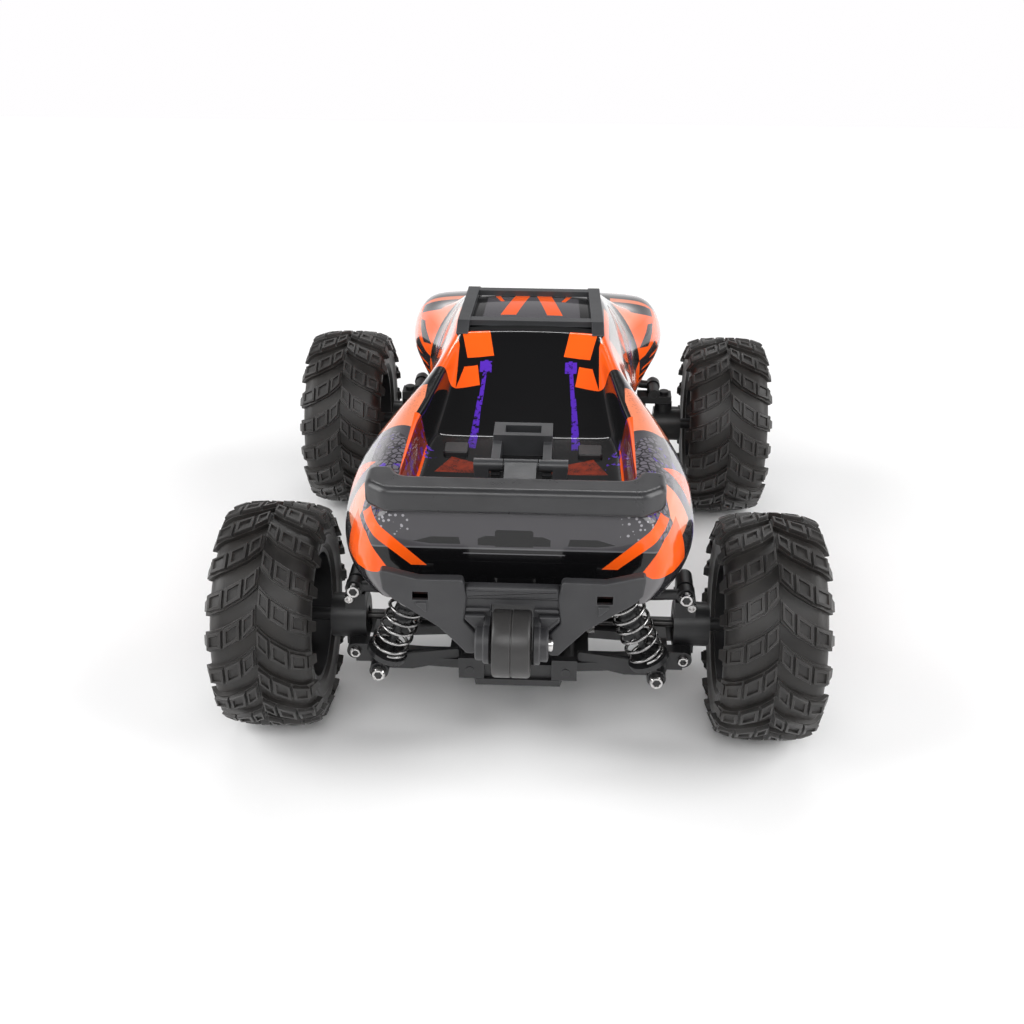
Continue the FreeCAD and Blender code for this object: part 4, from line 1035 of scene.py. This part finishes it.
def make_bumper():
    bm = bmesh.new()
    outline = BUMPER_HALF + [(-x, z) for x, z in reversed(BUMPER_HALF)]
    mm_slab(bm, outline, "y", *PLATE_Y, rims=(0.4, 0.4))
    plate = finish_mesh("bumper_plate", bm, "chassis", "bumper_plastic", 35.0)
    bm = bmesh.new()
    both_sides(bm, WING, "y", *WING_Y, 0.6, 1.4, 4)
    wings = finish_mesh("bumper_wings", bm, "chassis", "bumper_plastic", 35.0)
    for piece in (plate, wings):
        cutter = bmesh.new()
        for sign in (-1, 1):
            near, far = sorted((sign * 26.2, sign * 31.2))
            add_box(cutter, (near, -145, 84.9), (far, -120, 87.9))
        add_box(cutter, (-6.6, -145, 60), (6.6, -125, 83.2))
        carve(piece, cutter)
        smooth_by_angle(piece.data, 35)
    bm = bmesh.new()
    bar = [(-14.9, 85.2), (14.9, 85.2), (14.9, 89.8), (-14.9, 89.8)]
    mm_slab(bm, bar, "y", -137.4, -133.4, 1.4, 4, (1.2, 1.2), 5)
    both_sides(bm, [(6.9, 80.9), (14.6, 80.9), (14.6, 82.2), (6.9, 82.2)], "y", -137.5, -135.6)
    cheek = [(8.4, 80), (14.9, 80), (14.9, 78.4), (11.4, 74.8), (8.4, 74.2)]
    both_sides(bm, cheek, "y", -138.4, -135, 0.6)
    both_sides(bm, [(26.6, 84.2), (30.9, 84.2), (26.6, 80.2)], "y", -138.3, -137, 0.3)
    stay = [(-94, 60.5), (-94, 69.5), (-133.4, 84), (-133.4, 70.5)]
    for x in (-11, 11):
        mm_slab(bm, stay, "x", x - 2, x + 2, 0.8)
    roller_y, roller_z = centre_of("wheelie_roller")[1:]
    hub = [(6.7, 0), (6.7, 6), (7.1, 6.5), (8.6, 6.5), (9, 6.1), (9, 5.5), (11, 5.5), (11.5, 5),
           (11.5, 0)]
    web = [(roller_y / MM, 64.6), (-134, 64.6), (-134, 80), (roller_y / MM, 77.4)]
    for sign in (-1, 1):
        add_lathe(bm, (0, roller_y, roller_z), (sign, 0, 0), mm_points(hub), 40)
        near, far = sorted((sign * 6.7, sign * 8.9))
        mm_slab(bm, web, "x", near, far, rims=(0.3, 0.3))
    details = finish_mesh("bumper_details", bm, "chassis", "bumper_plastic", 35.0)
    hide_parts("rear_bumper")
    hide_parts("rear_bumper")
    make_screw("roller_screw", (11.5 * MM, roller_y, roller_z), (1, 0, 0), "chassis", 2.1 * MM, 1.4 * MM)


def make_roller():
    centre = centre_of("wheelie_roller")
    half = [(0, 10.35), (0.18, 10.35), (0.32, 10.7), (5.1, 10.75), (5.7, 10.45), (6, 9.9), (6, 8),
            (5.4, 7.6), (5.4, 3.4), (6, 3.1), (6, 1.56)]
    profile = [(-x, r) for x, r in reversed(half[1:])] + half
    bm = bmesh.new()
    add_lathe(bm, centre, (1, 0, 0), mm_points(profile), 96, closed=True)
    piece = finish_mesh("roller_wheel", bm, "roller", "roller_plastic", 30.0)
    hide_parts("wheelie_roller")


# ---------------- screws
def make_screw(name, place, direction, body, radius=0.0025, height=0.0016):
    """A plated socket screw: chamfered head with a hexagonal recess."""
    bm = bmesh.new()
    along, first, second = axes_for(direction)
    start = Vector(place)
    steps = 36
    socket = radius * 0.50
    levels = ((0.0, radius, False), (height * 0.72, radius, False), (height, radius * 0.84, False),
              (height, socket * 1.12, True), (height * 0.90, socket, True), (height * 0.20, socket, True))
    rings = []
    for distance, size, is_hex in levels:
        ring = []
        for step in range(steps):
            angle = 2 * math.pi * step / steps
            reach = size
            if is_hex:
                reach = size / math.cos((angle % (math.pi / 3)) - math.pi / 6)
            ring.append(bm.verts.new(start + along * distance + reach * spoke(first, second, angle)))
        rings.append(ring)
    join_rings(bm, rings)
    finish_mesh(name, bm, body, "steel", 30.0)


# u and z of the outer pivots of the lower arm and the upper link, in mm
ARM_OUTER = {"rear": (58.7, 33.0), "front": (55.0, 27.8)}
LINK_OUTER = {"rear": (58.7, 57.0), "front": (55.0, 57.8)}


def make_corner_screws(end, side):
    """The screw heads of one corner: label, body, u and z, v, radius and height in mm."""
    name = f"{end}_{side}"
    arm = f"{name}_arm"
    hub = f"{name}_carrier" if end == "rear" else f"{name}_caster"
    heads = [("hinge", arm, ARM_OUTER[end], 12.0, 2.0, 1.5),
             ("foot", arm, SHOCK_FOOT[end][::2], 24.2, 2.5, 2.2),
             ("link", hub, LINK_OUTER[end], 8.9, 2.5, 2.1),
             ("tower", "chassis", SHOCK_TOP[::2], 23.7, 2.1, 1.6)]
    if end == "rear":
        heads.append(("carrier", hub, (61.2, 51.2), 5.4, 1.7, 1.2))
    out = (0, corner_sign(end, side)[1], 0)
    for label, body, (u, z), v, radius, height in heads:
        place = corner_place(end, side, u, v, z)
        make_screw(f"{name}_{label}_screw", place, out, body, radius * MM, height * MM)


def make_arm_skirt(end, side):
    """The deep scalloped web along the outer edge of a lower arm."""
    name = f"{end}_{side}"
    inner_z, tip_z = 33.0, ARM_OUTER[end][1] + 1.0
    outline = [(21, inner_z), (21, inner_z + 3.6), (40, 34), (53, tip_z), (53, tip_z - 5.4),
               (46, tip_z - 6.6), (38, 27.4), (29, 29.6)]
    sx, sy = corner_sign(end, side)
    low, high = sorted(AXLE_Y[end] + sy * v * MM for v in (12.3, 14.0))
    points = [(sx * u * MM, z * MM) for u, z in outline]
    bm = bmesh.new()
    add_slab(bm, rounded_outline(points, 0.0012, 4), "y", low, high, 0.0003, 0.0003)
    finish_mesh(f"{name}_arm_skirt", bm, f"{name}_arm", "nylon")


make_pad()
make_bed_pads()
make_bumper()
make_roller()
for corner in CORNERS:
    make_corner_screws(*corner)
    make_arm_skirt(*corner)


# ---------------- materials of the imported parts
# the ends of the node names that each material covers
COVERED = {
    "nylon": ("lower_arm", "hub_carrier", "caster_block", "steering_knuckle", "upper_link", "gearbox",
              "steering_drag_link"),
    "rim_plastic": ("rim",),
    "shock_plastic": ("shock_body", "shock_rod"),
    "spring_wire": ("spring",),
    "dark_steel": ("dogbone",),
    "steel": ("differential", "pinion_gear", "tie_rod"),
    "gear_plastic": ("centre_driveshaft",),
    "motor_can": ("motor",),
    "electronics": ("steering_servo", "speed_controller"),
    "battery_wrap": ("battery_pack",),
    "tub_plastic": ("chassis_tub", "front_bumper", "rear_bumper"),
    "satin_trim": ("roof_rack", "tail_pad", "latch_base", "latch_lever"),
    "tyre": ("tyre",),
    "shell": ("body_shell",),
    "roller_plastic": ("wheelie_roller",),
}


def material_of(node):
    return next(MATERIALS[key] for key, endings in COVERED.items() if node.endswith(endings))


for node_name, node_object in NODES.items():
    node_object.data.materials.clear()
    node_object.data.materials.append(material_of(node_name))


# ---------------- floor, light and camera
FLOOR_HALF = 0.95
FLOOR_GLOW = (0.30, 0.80)        # the floor glows from here to here behind the truck
LIGHT_TARGET = (0, 0, 0.05)
# name, place, size and power of each area light
LIGHTS = (
    ("left_light", (-1.15, -0.25, 0.80), (0.9, 1.1), 16.0),
    ("right_light", (1.15, -0.25, 0.80), (0.9, 1.1), 16.0),
    ("back_light", (0.0, -1.25, 1.15), (1.4, 0.6), 12.0),
    ("strip_light", (0.0, 1.30, 1.45), (1.6, 0.16), 10.0),
)
SKY_FADE = {"From Min": 0.05, "From Max": 0.45, "To Min": 1.0, "To Max": 0.12}
CAMERA_PLACE = (0.0173, -0.5019, 0.3084)
CAMERA_ANGLES = (-2.74, 27.75, 0.11)        # yaw, pitch down and roll, in degrees
CAMERA_LENS = 48.35


def make_floor():
    bm = bmesh.new()
    corners = [(-FLOOR_HALF, -FLOOR_HALF), (FLOOR_HALF, -FLOOR_HALF), (FLOOR_HALF, FLOOR_HALF),
               (-FLOOR_HALF, FLOOR_HALF)]
    bm.faces.new([bm.verts.new((x, y, 0.0)) for x, y in corners])
    mesh = mesh_from(bm, "studio_floor")
    floor = add_object("studio_floor", mesh)
    g = Graph("studio_floor")
    behind = g.split(g.place)[1]
    g.set(Base_Color=g.mix(g.noise(3.0), (0.86, 0.86, 0.86), (0.90, 0.90, 0.90)), Roughness=0.7,
          Emission_Color=(1.0, 1.0, 1.0), Emission_Strength=g.spread(behind, *FLOOR_GLOW, 0.0, 0.50))
    mesh.materials.append(g.material)


def add_area(name, place, size, power):
    light = bpy.data.lights.new(name, "AREA")
    light.shape = "RECTANGLE"
    light.size, light.size_y = size
    light.energy = power
    lamp = add_object(name, light)
    lamp.location = place
    lamp.rotation_euler = (Vector(LIGHT_TARGET) - Vector(place)).to_track_quat("-Z", "Y").to_euler()


def make_lights():
    for light in LIGHTS:
        add_area(*light)
    world = bpy.data.worlds.new("studio")
    world.use_nodes = True
    nodes, links = world.node_tree.nodes, world.node_tree.links
    background = nodes["Background"]
    place = nodes.new("ShaderNodeTexCoord")
    split = nodes.new("ShaderNodeSeparateXYZ")
    fade = nodes.new("ShaderNodeMapRange")
    links.new(place.outputs["Generated"], split.inputs[0])
    links.new(split.outputs["Z"], fade.inputs["Value"])
    for socket, value in SKY_FADE.items():
        fade.inputs[socket].default_value = value
    links.new(fade.outputs[0], background.inputs[1])
    background.inputs[0].default_value = (1.0, 0.99, 1.0, 1.0)
    bpy.context.scene.world = world
    bpy.context.scene.view_settings.view_transform = "Standard"


def make_camera():
    yaw, pitch, roll = (math.radians(angle) for angle in CAMERA_ANGLES)
    forward = Vector((math.sin(yaw) * math.cos(pitch), math.cos(yaw) * math.cos(pitch), -math.sin(pitch)))
    level = forward.cross(Vector((0, 0, 1))).normalized()
    upright = level.cross(forward)
    right = math.cos(roll) * level + math.sin(roll) * upright
    up = math.cos(roll) * upright - math.sin(roll) * level
    turn = Matrix((right, up, -forward)).transposed().to_4x4()
    data = bpy.data.cameras.new("camera")
    data.lens = CAMERA_LENS
    data.sensor_width = 36.0
    data.clip_start = 0.01
    camera = add_object("camera", data)
    camera.matrix_world = Matrix.Translation(CAMERA_PLACE) @ turn
    bpy.context.scene.camera = camera


make_floor()
make_lights()
make_camera()
